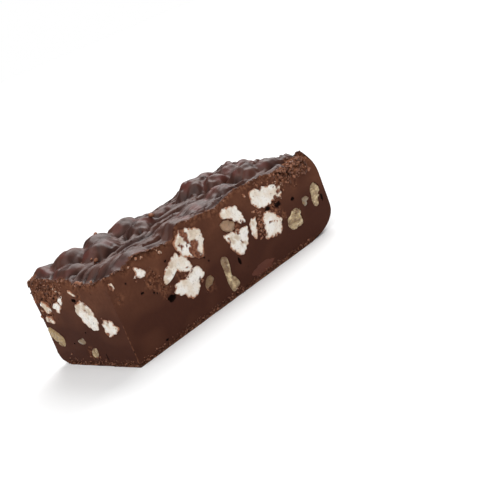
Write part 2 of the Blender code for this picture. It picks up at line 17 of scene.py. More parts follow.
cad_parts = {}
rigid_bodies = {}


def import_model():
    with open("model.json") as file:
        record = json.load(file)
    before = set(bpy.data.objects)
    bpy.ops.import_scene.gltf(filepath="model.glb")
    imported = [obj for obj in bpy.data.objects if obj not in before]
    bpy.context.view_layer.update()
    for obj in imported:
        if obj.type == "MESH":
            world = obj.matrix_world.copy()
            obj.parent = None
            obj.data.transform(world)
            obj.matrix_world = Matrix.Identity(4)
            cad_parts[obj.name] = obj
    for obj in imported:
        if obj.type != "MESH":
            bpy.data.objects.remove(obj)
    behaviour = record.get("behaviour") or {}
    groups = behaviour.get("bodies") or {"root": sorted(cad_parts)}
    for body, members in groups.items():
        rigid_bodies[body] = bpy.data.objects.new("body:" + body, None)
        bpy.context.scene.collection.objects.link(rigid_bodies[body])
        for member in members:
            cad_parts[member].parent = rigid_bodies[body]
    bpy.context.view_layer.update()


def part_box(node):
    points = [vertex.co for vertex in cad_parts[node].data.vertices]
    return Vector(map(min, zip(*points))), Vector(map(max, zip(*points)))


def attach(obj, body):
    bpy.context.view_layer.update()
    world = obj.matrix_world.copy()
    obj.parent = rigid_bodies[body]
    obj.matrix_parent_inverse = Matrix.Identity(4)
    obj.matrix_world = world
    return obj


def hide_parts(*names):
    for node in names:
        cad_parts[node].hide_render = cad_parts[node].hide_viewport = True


bl_info = {
    "name": "Nut Fudge Bar",
    "version": (1, 0, 0),
    "blender": (4, 5, 0),
    "location": "3D View > Sidebar > Fudge",
    "description": "Builds the finish of a bar of nut fudge over its packed solids",
    "category": "Object",
}

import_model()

MM = 0.001
BODY = "root"

# The bar, in millimetres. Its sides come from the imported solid.
FUDGE_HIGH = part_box("fudge")[1]
HALF_LENGTH = FUDGE_HIGH.x / MM
HALF_WIDTH = FUDGE_HIGH.y / MM
HEIGHT = 30.0
# What lies nearer to a plane than this is on it.
ON_SIDE = 0.02
# How much taller the cells of its sides are than those of its top, on average.
SIDE_CELL = 1.75

# What the tray moulded: how far its lower edges curve in and up at the end and the side, its upright corner,
# and the end's lean over the bar, from what height and how far in.
TRAY_END_RUN = 16.0
TRAY_END_RISE = 8.0
TRAY_SIDE_RUN = 5.0
TRAY_SIDE_RISE = 4.5
TRAY_CORNER = 6.0
END_LEAN = 4.0
END_LEAN_FROM = 21.0
END_LEAN_RUN = 12.0

# The top skin: swells over sunken chunks, valleys between them, and folds along the bar.
VALLEY_LEVEL = 30.2
# How far two swells keep apart where they meet. A higher number leaves a sharper valley.
SWELL_JOIN = 3.0
# The dip in the back edge between the swells: its depth, middle, half length, slope and where it starts.
BACK_DIP = 1.5
BACK_DIP_AT = 11.0
BACK_DIP_REACH = 12.0
BACK_DIP_SLOPE = 6.0
BACK_DIP_FROM = 8.0
# The folds: how they run and turn across the bar, and the size of the wide ones.
FOLD_SLOPE = 0.16
FOLD_TURN = 0.08
FOLD_BEND_AT = -30.0
FOLD_BEND = 12.0
FOLD_HEIGHT = 1.1
FOLD_LENGTH = 16.0
FOLD_WIDTH = 4.6
# A place in the fine folds lies in a groove where they are lower than this, and gets painted shade there.
GROOVE_BELOW = 1.45
# How far in from the cuts the skin has its own level and its full relief.
RIM_BLEND = 9.0
FRONT_BLEND = 5.0
LEFT_BLEND = 4.0
# Each swell: its middle, its half length and half width, its turn in degrees and its height.
Swell = namedtuple("Swell", "x y long wide turn rise")
SWELLS = [
    Swell(*row)
    for row in (
        (-38.8, 11.6, 8.2, 6.4, 15, 4.9), (-45.5, 4.0, 5.8, 6.0, 20, 2.4), (-31.6, 3.6, 9.2, 5.8, 18, 4.4),
        (-27.4, 10.8, 8.8, 6.2, 8, 5.1), (-14.0, 13.0, 8.6, 5.6, 5, 3.9), (-12.5, 4.6, 7.0, 5.0, 12, 3.4),
        (-0.8, 7.4, 5.0, 4.2, 10, 2.5), (6.0, 12.2, 5.0, 4.4, 20, 1.0), (18.6, 7.8, 8.6, 6.8, 8, 5.4),
        (22.5, 0.4, 6.5, 4.4, 10, 4.4), (12.5, -11.2, 8.4, 5.6, 8, 3.3), (28.2, -8.8, 7.6, 6.0, 10, 4.5),
        (36.5, -12.4, 6.0, 5.2, 10, 3.2), (33.0, 3.6, 7.0, 5.6, -15, 4.1), (41.0, 2.6, 5.6, 4.8, 0, 3.3),
        (42.5, 11.7, 7.0, 6.0, 10, 2.6), (29.5, 14.2, 6.5, 5.0, 0, 3.4), (-4.0, 16.4, 5.0, 3.4, 0, 0.9),
        (-38.0, -15.8, 10.5, 6.4, -4, 1.5), (-15.4, -15.8, 8.0, 6.0, 12, 2.2),
        (0.5, -10.4, 10.0, 7.4, 12, 1.9), (-46.0, 15.6, 6.5, 6.5, 0, 2.8),
    )
]
# The height of the skin at stations along the two cuts.
FRONT_RIM = (
    (-51.5, 30.0), (-44.0, 29.6), (-37.4, 31.2), (-29.0, 29.6), (-22.7, 28.8), (-17.4, 32.4),
    (-10.6, 31.4), (-0.2, 30.3), (10.2, 32.0), (20.6, 31.3), (31.1, 29.9), (38.0, 29.3), (47.5, 29.5),
    (51.5, 31.3),
)
LEFT_RIM = (
    (-21.3, 30.0), (-13.5, 28.7), (-7.0, 28.5), (-2.0, 30.3), (6.4, 30.6), (11.4, 31.2), (16.4, 32.0),
    (21.3, 30.4),
)

# The crumbly bands along the top and the foot of the cuts, the rolled part of the front's upper edge, and the
# bay in the back where the left cut ends.
TOP_BAND = 4.5
FOOT_BAND = 1.8
EDGE_ROLL = 1.6
EDGE_ROLL_DROP = 4.5
# The rolled part of the edge is also painted lighter there, as painted light.
ROLL_CENTRE = -34.0
ROLL_REACH = 16.0
BAY_DEPTH = 2.4
BAY_LEVEL = 22.5
BAY_RISE = 13.0
BAY_REACH = 9.0
# Where the broken part of the front's upper edge starts, and the heights between which the upright edge of
# the two cuts gets a crumb share, a painted highlight as a light line.
CORNER_FROM = 27
CORNER_RUN = 6
EDGE_HIGHLIGHT_LOW = 0.8
EDGE_HIGHLIGHT_HIGH = 14.4

# The chunks. How deep each kind goes, as a share of its half width, and how far its edge strays.
Chunk = namedtuple("Chunk", "name kind side corners")
DEPTH_SHARE = {"marshmallow": 1.0, "walnut": 0.8}
TEAR = {"marshmallow": 0.62, "walnut": 0.2}
# The turns in degrees over which an outline's corners are rounded.
OUTLINE_ROUNDING = (-6, -3, 0, 3, 6)
# The room left round a chunk, and how close two of them are before one gives way to the other.
ROOM = 0.04
NEAR_GAP = 1.2
# How much coarser a cutter is than a chunk.
CUTTER_SPACING = 1.4
# How far a chunk may stand out of its side, its stained edge's width, and the nuts that stand out most.
PROUD = 0.35
FRINGE = 1.3
ROUND_NUTS = ("walnut_01",)
# The corners of each chunk's outline on its side, (along, up), in order round it.
MARSHMALLOW_OUTLINES = {
    "front": (
        ((15.4, 28.6), (18.2, 28.9), (20.1, 27.5), (22.3, 27.7), (25.6, 27.0), (28.5, 26.2), (31.0, 23.8),
         (30.4, 21.4), (28.0, 20.9), (25.7, 21.4), (23.8, 20.9), (19.7, 20.8), (16.8, 22.0), (15.0, 24.4)),
        ((2.3, 28.4), (5.1, 28.2), (7.8, 27.0), (9.3, 23.4), (10.0, 20.4), (8.6, 19.9), (5.9, 21.8),
         (4.2, 23.8), (1.0, 25.4), (-1.0, 26.3), (0.3, 27.9)),
        ((9.8, 18.7), (9.7, 17.2), (8.7, 15.0), (7.1, 13.1), (4.2, 11.2), (1.2, 11.7), (-0.6, 15.2),
         (-1.2, 18.2), (-2.4, 20.9), (0.8, 20.3), (3.8, 19.7), (7.7, 19.3)),
        ((18.9, 19.3), (21.6, 19.2), (23.5, 17.6), (25.5, 15.1), (26.6, 13.1), (25.3, 11.7), (23.7, 9.8),
         (21.4, 9.6), (17.3, 10.4), (15.2, 11.6), (16.8, 13.5), (17.4, 15.8), (17.6, 18.0)),
        ((12.3, 20.1), (14.8, 19.7), (15.0, 18.1), (13.6, 17.3), (13.1, 15.6), (12.5, 13.6), (11.7, 12.9),
         (10.7, 13.9), (10.2, 15.8), (10.6, 18.2)),
        ((-18.6, 30.2), (-17.0, 30.5), (-14.3, 29.4), (-11.9, 28.4), (-10.1, 27.0), (-9.5, 24.2),
         (-11.0, 21.6), (-11.9, 18.9), (-14.2, 18.3), (-16.2, 20.2), (-18.8, 21.0), (-20.7, 22.5),
         (-22.6, 26.1), (-21.9, 27.7), (-20.3, 28.8)),
        ((-23.1, 24.9), (-21.2, 23.3), (-18.8, 21.3), (-18.4, 19.3), (-18.7, 17.2), (-20.2, 17.0),
         (-21.6, 17.2), (-24.5, 19.2), (-26.9, 19.4), (-29.3, 18.6), (-30.5, 16.4), (-31.2, 17.6),
         (-31.1, 19.8), (-28.2, 22.3), (-25.6, 23.7)),
        ((-17.1, 17.3), (-15.8, 17.0), (-15.2, 14.4), (-15.0, 12.7), (-17.6, 12.4), (-18.3, 10.9),
         (-19.6, 9.4), (-23.0, 8.3), (-24.4, 10.0), (-27.0, 12.3), (-29.5, 13.4), (-28.4, 14.6),
         (-27.4, 16.0), (-24.1, 16.1), (-21.9, 15.6), (-20.4, 17.0), (-18.6, 17.0)),
        ((-39.4, 28.0), (-37.6, 27.2), (-35.9, 25.0), (-36.8, 23.4), (-39.2, 24.4), (-41.1, 25.0),
         (-39.8, 26.4)),
        ((-50.2, 28.2), (-48.8, 27.6), (-48.6, 25.8), (-49.6, 24.8), (-50.6, 26.2)),
    ),
    "left": (
        ((-3.1, 22.8), (-5.6, 23.1), (-7.9, 21.7), (-9.2, 18.1), (-9.6, 16.0), (-8.4, 13.8), (-6.6, 12.5),
         (-4.1, 13.1), (-2.0, 14.9), (-0.2, 18.4), (0.4, 20.6), (-0.7, 21.8)),
        ((-12.8, 16.3), (-15.6, 16.5), (-18.9, 13.7), (-17.8, 12.7), (-15.3, 11.4), (-11.9, 10.3),
         (-10.5, 11.4), (-11.2, 15.0)),
        ((3.5, 25.5), (5.6, 23.4), (6.1, 21.9), (9.4, 19.0), (10.6, 19.8), (11.9, 21.3), (11.1, 22.4),
         (7.3, 23.6), (5.8, 25.6)),
        ((18.2, 23.8), (15.5, 22.8), (13.7, 21.3), (14.1, 19.1), (16.2, 18.7), (17.5, 20.0), (18.6, 21.7)),
        ((19.0, 17.9), (15.6, 17.9), (14.5, 16.0), (14.8, 14.9), (16.9, 15.3), (19.1, 16.1)),
        ((0.1, 27.4), (-1.7, 27.0), (-3.5, 25.0), (-3.5, 24.1), (-2.2, 24.6), (-0.1, 26.3)),
    ),
    "back": (
        ((-44.4, 20.4), (-41.2, 22.6), (-37.0, 24.8), (-33.0, 23.4), (-32.4, 19.6), (-35.2, 16.4),
         (-40.0, 15.4), (-43.8, 16.6)),
        ((-24.8, 12.6), (-21.4, 14.6), (-18.0, 15.8), (-15.0, 13.6), (-15.4, 10.0), (-19.4, 8.8),
         (-23.6, 8.8)),
        ((-19.2, 24.6), (-15.6, 26.4), (-12.2, 25.4), (-12.6, 22.4), (-16.2, 21.2), (-19.0, 22.0)),
        ((-1.6, 20.6), (2.0, 23.0), (6.6, 24.2), (10.0, 21.8), (9.4, 17.4), (5.6, 14.4), (1.6, 15.6),
         (-1.4, 17.4)),
        ((10.8, 10.6), (14.2, 12.6), (17.8, 13.6), (19.2, 10.4), (16.6, 7.4), (12.4, 6.8)),
        ((21.4, 22.4), (24.2, 24.6), (28.4, 26.0), (32.4, 24.2), (32.2, 20.4), (28.8, 18.6), (24.4, 18.6),
         (21.8, 19.8)),
        ((33.8, 14.2), (36.2, 16.4), (40.0, 15.4), (42.2, 13.0), (40.2, 9.8), (36.4, 10.6)),
    ),
    "right": (
        ((1.2, 16.8), (3.8, 18.8), (7.2, 19.4), (9.0, 17.0), (7.2, 14.9), (3.4, 13.8)),
    ),
}
WALNUT_OUTLINES = {
    "front": (
        ((-1.6, 24.5), (0.4, 24.9), (2.7, 24.3), (4.6, 22.9), (5.0, 21.5), (4.1, 20.3), (2.2, 20.2),
         (-0.1, 21.1), (-1.7, 22.9)),
        ((-14.4, 12.0), (-12.8, 11.9), (-11.8, 10.4), (-13.0, 9.1), (-16.2, 8.1), (-16.8, 9.4),
         (-15.6, 11.1)),
        ((-7.0, 14.4), (-5.3, 14.7), (-3.6, 13.8), (-3.5, 12.0), (-4.1, 10.0), (-4.5, 7.6), (-4.3, 6.1),
         (-2.1, 4.9), (-2.2, 3.4), (-4.6, 2.3), (-6.2, 1.9), (-7.0, 3.5), (-7.3, 5.6), (-7.2, 8.5),
         (-7.0, 11.7)),
        ((30.6, 13.0), (31.8, 14.3), (34.7, 14.2), (36.6, 12.4), (35.2, 11.4), (35.9, 9.7), (35.2, 7.8),
         (32.2, 7.6), (29.4, 7.7), (27.7, 9.9), (28.4, 12.4)),
        ((46.3, 18.6), (48.2, 18.1), (49.1, 16.4), (48.9, 14.7), (47.5, 14.4), (47.8, 13.1), (46.2, 12.3),
         (46.4, 10.8), (45.4, 9.9), (44.2, 10.2), (43.1, 11.8), (43.5, 13.9), (44.0, 16.4), (44.8, 18.1)),
        ((38.6, 16.0), (41.3, 15.9), (42.3, 14.7), (40.8, 13.9), (40.3, 12.7), (38.9, 12.6), (38.1, 14.1)),
    ),
    "left": (
        ((20.8, 14.1), (18.6, 13.8), (15.6, 11.9), (13.6, 10.0), (13.8, 8.1), (15.2, 6.6), (17.2, 7.0),
         (19.4, 8.6), (20.9, 10.4), (21.1, 12.4)),
        ((5.9, 9.3), (2.9, 10.2), (1.8, 8.6), (2.9, 7.8), (5.8, 7.8), (6.6, 8.6)),
        ((1.0, 5.6), (-0.8, 6.6), (-2.3, 6.4), (-1.9, 4.2), (-0.4, 2.5), (0.8, 2.8), (1.2, 3.8)),
    ),
    "back": (
        ((-33.8, 9.4), (-31.4, 10.8), (-28.2, 11.8), (-26.8, 9.8), (-28.8, 7.9), (-32.0, 6.4)),
        ((-8.8, 10.6), (-6.6, 12.0), (-4.0, 12.4), (-3.2, 10.4), (-5.4, 8.8), (-8.0, 8.4)),
        ((30.6, 8.6), (32.8, 9.8), (35.0, 9.0), (34.6, 7.0), (31.6, 6.6)),
        ((41.2, 21.8), (43.4, 23.0), (46.0, 21.2), (45.4, 18.8), (42.6, 19.2)),
    ),
    "right": (
        ((-11.6, 16.8), (-9.2, 18.4), (-6.4, 19.0), (-6.0, 16.6), (-8.2, 15.2), (-10.6, 14.4)),
        ((9.6, 12.8), (11.4, 14.6), (13.6, 14.4), (13.4, 12.2), (11.2, 10.8)),
    ),
}

# Patches and crumbs on the cuts are listed by side.
# Chocolate that lies over a cut chunk, as round patches: (along, up, radius).
SMEARS = {
    "front": (
        (-17.4, 30.0, 1.1), (-16.9, 28.4, 1.2), (-16.6, 26.8, 1.1), (-16.4, 25.4, 0.7), (-19.9, 26.0, 0.6),
        (-19.5, 24.8, 0.6), (-17.2, 24.4, 0.6), (-14.4, 23.6, 1.9), (-15.5, 21.8, 1.8), (-14.8, 20.0, 1.4),
        (-13.4, 18.6, 1.0), (-9.8, 21.8, 0.8), (4.9, 18.6, 0.8), (0.3, 18.3, 0.6), (0.0, 17.2, 0.6),
        (5.0, 15.3, 0.5), (0.8, 13.0, 0.7), (6.4, 20.9, 0.8), (21.2, 28.0, 1.2), (29.8, 25.4, 1.1),
        (28.9, 22.9, 0.9), (30.8, 22.6, 0.7), (27.6, 21.2, 0.7), (14.9, 18.9, 0.6), (16.4, 12.2, 0.8),
        (22.6, 18.4, 0.5), (24.4, 16.4, 0.6), (20.1, 15.5, 0.4), (25.8, 12.8, 0.6), (20.4, 10.4, 0.4),
        (19.9, 28.4, 0.7), (23.4, 27.6, 0.5), (26.6, 22.0, 0.9), (5.4, 18.5, 0.5), (5.3, 15.2, 0.45),
        (6.0, 22.0, 0.6), (8.4, 20.7, 0.6), (-17.2, 12.6, 0.6), (-19.4, 16.6, 0.7), (-20.4, 18.3, 0.5),
        (-39.9, 25.2, 0.6), (-50.1, 26.3, 0.8),
    ),
    "left": (
        (-4.6, 19.5, 0.35), (-5.6, 19.1, 0.4), (-0.2, 20.6, 0.5), (-6.4, 22.4, 0.9), (-14.6, 15.6, 0.5),
        (-12.0, 11.4, 0.5), (17.6, 20.9, 0.5), (15.1, 20.0, 0.4), (17.4, 16.6, 0.4), (18.0, 23.2, 0.6),
        (15.6, 17.6, 0.3), (7.6, 22.4, 0.6), (5.4, 25.2, 0.8), (-2.8, 25.6, 0.6),
    ),
}
# Where a chunk is painted darker: grey or creamy on the foam, browner on a nut: (along, up, radius).
DARKER_PATCHES = {
    "front": (
        (-30.6, 18.4, 1.6), (-28.6, 20.6, 1.5), (-26.2, 22.3, 1.2), (-23.0, 24.6, 1.2), (-21.0, 23.0, 1.2),
        (-19.4, 21.2, 1.1), (29.8, 23.8, 2.2), (-19.2, 27.2, 1.6), (-13.4, 27.4, 1.4), (-14.0, 25.0, 1.0),
        (1.4, 17.2, 1.3), (4.8, 14.4, 1.4), (3.6, 18.0, 1.2), (11.2, 14.6, 1.2), (12.2, 18.8, 1.4),
        (-49.4, 26.4, 1.6), (-5.6, 13.2, 2.2), (-5.6, 10.6, 1.4), (33.9, 13.4, 1.8),
    ),
    "left": (
        (-2.4, 21.8, 1.8), (-5.0, 20.8, 1.8), (-7.0, 19.4, 1.2), (-1.0, 20.0, 1.3), (-13.8, 14.3, 0.9),
        (16.6, 21.6, 2.6), (17.0, 16.8, 2.2),
    ),
}
# Broken patches: (along, up, radius, how strongly broken).
BROKEN_PATCHES = {
    "front": (
        (-34.5, 21.5, 4.5, 0.75), (-32.0, 16.5, 3.4, 0.7), (-24.5, 17.4, 2.6, 0.5), (-14.5, 8.8, 3.0, 0.5),
        (-13.0, 20.0, 2.6, 0.5), (25.6, 19.4, 3.6, 1.0), (21.0, 19.9, 1.6, 0.8), (31.4, 25.2, 3.2, 0.8),
        (14.6, 17.0, 4.0, 0.8), (27.4, 14.6, 2.0, 0.6), (37.6, 23.6, 4.0, 0.35), (5.2, 21.2, 2.2, 0.8),
        (-48.6, 22.0, 3.0, 0.35),
    ),
    "left": (
        (8.2, 26.6, 5.5, 1.0), (14.6, 26.2, 6.2, 1.0), (16.2, 19.4, 3.6, 0.9), (-4.8, 25.2, 2.2, 0.5),
        (1.2, 4.6, 3.0, 0.45),
    ),
    "back": (
        (-36.0, 20.0, 6.0, 0.4), (4.0, 19.0, 6.0, 0.4), (28.0, 22.0, 6.0, 0.4),
    ),
}
# Crumbs that lie on the skin: (x, y, radius).
LOOSE_CRUMBS = (
    (-38.0, -1.5, 0.95), (-38.6, -0.4, 0.5), (-33.5, 13.6, 0.8), (-25.0, 12.4, 0.9), (-8.2, 2.4, 1.2),
    (-50.5, -6.0, 0.9), (-50.7, -8.2, 0.8), (-50.6, -7.0, 0.8), (-50.4, -13.4, 0.7), (-40.5, 3.0, 0.35),
    (13.2, -9.6, 0.7), (12.4, -9.2, 0.6), (14.0, -10.0, 0.5), (11.6, -8.9, 0.5),
)
# Light crumbs pressed into the cuts in small clumps: (along, up, radius).
PRESSED_CRUMBS = {
    "front": (
        (16.2, 21.3, 0.7), (17.0, 20.1, 0.8), (16.8, 18.8, 0.7), (15.8, 18.9, 0.7), (16.2, 17.6, 0.8),
        (16.6, 16.4, 0.7), (14.9, 16.8, 0.7), (15.2, 15.6, 0.9), (15.6, 14.2, 0.9), (13.9, 15.7, 0.5),
        (14.0, 14.1, 0.9), (14.8, 12.8, 0.8), (13.4, 12.7, 0.7), (19.4, 29.9, 0.6), (20.4, 28.9, 0.6),
        (23.1, 28.7, 0.5), (25.6, 27.6, 0.5), (26.6, 21.9, 0.7), (-16.8, 11.6, 0.7), (-22.0, 16.1, 0.8),
        (-40.4, 23.6, 0.5), (-13.0, 19.0, 0.6), (7.6, 21.6, 0.5),
    ),
    "left": (
        (20.9, 23.9, 0.9), (19.6, 24.2, 0.6), (20.8, 18.0, 0.7), (17.4, 18.4, 0.5), (-17.4, 13.6, 0.4),
        (-12.4, 17.0, 0.5), (-0.2, 3.4, 0.6), (-2.0, 3.0, 0.4), (0.6, 5.4, 0.3),
    ),
}
# Flecks of marshmallow on the cuts, in small clumps: (along, up, radius).
FLECKS = {
    "front": (
        (-37.1, 30.2, 0.7), (-35.6, 29.2, 0.5), (-28.9, 28.1, 0.6), (-41.1, 28.9, 0.5),
        (-28.2, 27.4, 0.35), (13.0, 28.6, 0.6), (14.3, 21.7, 0.6), (16.0, 16.6, 0.3), (14.8, 14.4, 0.3),
        (16.6, 19.6, 0.3), (21.0, 15.1, 0.35), (22.2, 14.7, 0.35), (23.4, 14.2, 0.35), (24.6, 13.7, 0.35),
        (28.9, 26.3, 0.4), (31.4, 25.0, 0.4), (31.6, 22.6, 0.4), (29.2, 20.6, 0.4), (-4.8, 2.4, 0.4),
    ),
    "left": (
        (7.1, 28.2, 0.5), (5.9, 27.4, 0.6), (4.2, 26.2, 0.5), (13.1, 4.1, 0.3), (18.6, 20.2, 0.5),
        (16.4, 17.0, 0.6),
    ),
}
# Bare spots of the skin, where the fudge shows: (x, y, radius).
BARE_SPOTS = (
    (13.2, -9.6, 1.3), (11.6, -8.9, 0.7), (39.6, -19.6, 2.8), (43.6, -19.2, 3.2), (47.4, -19.0, 3.0),
    (35.2, -20.6, 1.8), (-50.8, 17.0, 1.5),
)
# How many crumbs or flecks a clump has, and how many crumbs are made at a time, for speed.
CLUMP = 4
CRUMB_BATCH = 50
# How many crumbs are strewn along each edge.
STREWN = {
    "front corner": 170,
    "left rubble": 150,
    "front rim": 520,
    "left rim": 260,
    "front foot": 380,
    "left foot": 220,
}
# Pits in the cuts, with painted shade inside. One no deeper than a dent keeps some of the skin's shine,
# and is painted in the light tone, partly a painted sheen.
DENT_DEPTH = 0.4
Pit = namedtuple("Pit", "side along up long short depth")
PITS = [
    Pit(*row)
    for row in (
        ("front", -30.5, 12.8, 1.7, 1.2, 2.2), ("front", 0.8, 9.9, 0.7, 1.3, 1.8),
        ("front", 34.2, 17.8, 0.9, 0.6, 1.0), ("front", 26.6, 19.2, 1.6, 1.0, 1.4),
        ("front", 21.3, 19.7, 1.5, 0.7, 1.0), ("front", 48.6, 12.0, 0.7, 1.5, 0.9),
        ("left", -1.4, 23.4, 1.2, 0.6, 1.3), ("front", -38.5, 2.4, 0.6, 0.4, 0.6),
        ("front", -40.3, 19.6, 0.7, 0.35, 0.6), ("left", -0.2, 12.0, 0.4, 0.3, 0.5),
        ("left", 8.8, 8.0, 0.4, 0.3, 0.5), ("front", 10.2, 3.2, 5.8, 1.9, 0.38),
        ("front", -27.6, 24.2, 0.5, 0.3, 0.6), ("left", 11.6, 25.6, 0.5, 0.35, 0.7),
        ("left", 13.4, 27.2, 0.6, 0.4, 0.8), ("left", 9.4, 24.4, 0.45, 0.3, 0.6),
        ("left", 10.4, 28.4, 0.5, 0.35, 0.8), ("left", 8.6, 27.4, 0.4, 0.3, 0.7),
        ("left", 9.9, 26.4, 0.4, 0.3, 0.7), ("front", 24.6, 19.8, 0.9, 0.6, 0.9),
        ("front", -33.6, 22.4, 0.4, 0.3, 0.5), ("front", -34.6, 19.8, 0.35, 0.3, 0.5),
        ("front", -35.0, 16.8, 0.4, 0.35, 0.5), ("front", -30.9, 16.6, 0.3, 0.5, 0.6),
        ("front", -12.6, 18.0, 0.35, 0.3, 0.5), ("front", -36.2, 20.3, 0.45, 0.3, 0.5),
        ("front", -36.2, 17.6, 0.35, 0.4, 0.5), ("front", -44.4, 25.0, 0.4, 0.3, 0.5),
        ("front", -11.3, 16.2, 0.35, 0.3, 0.5), ("left", -6.0, 3.2, 0.35, 1.2, 0.5),
    )
]

# Each side: a point on its plane, the direction along it, and its outward normal. Up is always +Z.
Side = namedtuple("Side", "point along normal")
SIDES = {
    "front": Side(Vector((0, -HALF_WIDTH, 0)), Vector((1, 0, 0)), Vector((0, -1, 0))),
    "left": Side(Vector((-HALF_LENGTH, 0, 0)), Vector((0, 1, 0)), Vector((-1, 0, 0))),
    "back": Side(Vector((0, HALF_WIDTH, 0)), Vector((1, 0, 0)), Vector((0, 1, 0))),
    "right": Side(Vector((HALF_LENGTH, 0, 0)), Vector((0, 1, 0)), Vector((1, 0, 0))),
}
UP = Vector((0, 0, 1))


# Shapes of the bar.


def smooth_step(value):
    """0 below 0, 1 above 1, and smooth between them."""
    value = min(max(value, 0.0), 1.0)
    return value * value * (3 - 2 * value)


def along_stations(stations, place):
    """The height at a place, eased from each station to the next."""
    for (start, low), (end, high) in zip(stations, stations[1:]):
        if place <= end:
            return low + (high - low) * smooth_step((place - start) / (end - start))
    return stations[-1][1]


def arc_rise(past, run, rise):
    """How far a quarter ellipse has risen at a distance past its start."""
    reach = min(max(past / run, 0.0), 1.0)
    return rise * (1 - math.sqrt(1 - reach * reach))


def swell_reach(swell, x, y):
    """How far out a place lies in a swell, squared: 0 in its middle and 1 at its edge."""
    turn = math.radians(swell.turn)
    dx = x - swell.x
    dy = y - swell.y
    p = (dx * math.cos(turn) + dy * math.sin(turn)) / swell.long
    q = (dy * math.cos(turn) - dx * math.sin(turn)) / swell.wide
    return p * p + q * q


def swells_level(x, y):
    """Height of all swells together, and how taut they pull the skin, from 0 to 1."""
    total = 0.0
    taut = 0.0
    for swell in SWELLS:
        inside = 1 - swell_reach(swell, x, y)
        if inside > 0:
            total += (swell.rise * inside) ** SWELL_JOIN
            taut = max(taut, smooth_step(inside / 0.45))
    return total ** (1 / SWELL_JOIN), taut


def drift(x, y, size, seed):
    """Smooth noise over the plan, from about -1 to 1."""
    return noise.noise(Vector((x / size, y / size, seed)))


def creases(along, across, length, width, seed):
    """Noise drawn out along the bar, 0 in sharp creases and up to about 1 between them."""
    return abs(noise.noise(Vector((along / length, across / width, seed))))


def folds(x, y, taut):
    """Relief of the skin's long folds, faint where it is taut, and how deep in a groove the place lies, for
    painted shade.
    """
    bend = (x - FOLD_BEND_AT) / FOLD_BEND
    across = y - FOLD_SLOPE * x + FOLD_TURN * FOLD_BEND * math.log(math.cosh(bend))
    across += 1.6 * drift(x, y, 9, 5.0)
    along = x + 2.5 * drift(x, y, 15, 9.0)
    crests = 2.0 * min(1.0, 2.6 * creases(along, across, 17, 2.9, 0.0)) ** 0.7
    groove = smooth_step(1 - crests / GROOVE_BELOW) * (1 - 0.6 * taut)
    crests += 0.35 * min(1.0, 2.9 * creases(along, across, 8, 1.3, 4.0)) ** 0.6
    wide = FOLD_HEIGHT * (creases(along, across, FOLD_LENGTH, FOLD_WIDTH, 12.0) - 0.2)
    return (crests - 1.5) * (1 - 0.85 * taut) + wide * taut, groove


def back_dip(x, y):
    """How far the skin sinks towards the back edge between the swells."""
    along = smooth_step((BACK_DIP_REACH - abs(x - BACK_DIP_AT)) / BACK_DIP_SLOPE)
    return BACK_DIP * along * smooth_step((y - BACK_DIP_FROM) / (HALF_WIDTH - BACK_DIP_FROM))


@lru_cache(maxsize=None)
def top_form(x, y):
    """Height of the skin over a place on the plan, how taut it is and how deep in a groove, for painted
    shade.
    """
    bent_x = x + 2.0 * drift(x, y, 7, 21.0) + 0.9 * drift(x, y, 2.6, 23.0)
    bent_y = y + 1.6 * drift(x, y, 6, 27.0) + 0.8 * drift(x, y, 2.4, 29.0)
    height, taut = swells_level(bent_x, bent_y)
    from_front = y + HALF_WIDTH
    from_left = x + HALF_LENGTH
    front = smooth_step(from_front / RIM_BLEND)
    left = smooth_step(from_left / RIM_BLEND)
    level = along_stations(FRONT_RIM, x) * (1 - front) + VALLEY_LEVEL * front
    level = along_stations(LEFT_RIM, y) * (1 - left) + level * left
    raised = smooth_step(from_front / FRONT_BLEND) * smooth_step(from_left / LEFT_BLEND)
    relief, groove = folds(x, y, taut)
    level += (height + relief) * raised - back_dip(x, y)
    at_cut = smooth_step(1 - min(from_front, from_left) / 1.6)
    jagged = drift(x, y, 1.6, 2.0) + 0.6 * drift(x, y, 0.8, 4.0)
    bare = bare_share(x, y)
    return level + 0.5 * jagged * at_cut - bare * crumb_relief(Vector((x, y, 30.0))), taut, groove * raised


def top_level(x, y):
    return top_form(round(x, 4), round(y, 4))[0]


def bare_share(x, y):
    """1 where the skin is broken off, with a ragged edge, and 0 where it is whole."""
    ragged = 0.8 * drift(x, y, 1.6, 31.0) + 0.6 * drift(x, y, 4.0, 33.0)
    share = 0.0
    for centre_x, centre_y, radius in BARE_SPOTS:
        gap = math.hypot(x - centre_x, y - centre_y) - radius
        share = max(share, smooth_step(0.5 - (gap / radius + 0.5 * ragged) / 0.8))
    return share


def end_lean(x, height):
    """How far the far end's upper part leans back over the bar."""
    lean = min(max(0.0, (height - END_LEAN_FROM) / (HEIGHT - END_LEAN_FROM)), 1.1)
    return END_LEAN * lean**2 * smooth_step((x - (HALF_LENGTH - END_LEAN_RUN)) / END_LEAN_RUN)


def rounded_corner(x, y):
    """The plan's square corner drawn in to the tray's round one."""
    dx = x - (HALF_LENGTH - TRAY_CORNER)
    dy = y - (HALF_WIDTH - TRAY_CORNER)
    if dx <= 0 or dy <= 0:
        return x, y
    shrink = max(dx, dy) / math.hypot(dx, dy)
    return x - dx * (1 - shrink), y - dy * (1 - shrink)


def patch_gaps(patches, side, along, up):
    """For each patch of a side, how far its middle is from a place, and its other values."""
    for centre_along, centre_up, *values in patches.get(side, ()):
        yield math.hypot(along - centre_along, up - centre_up), *values


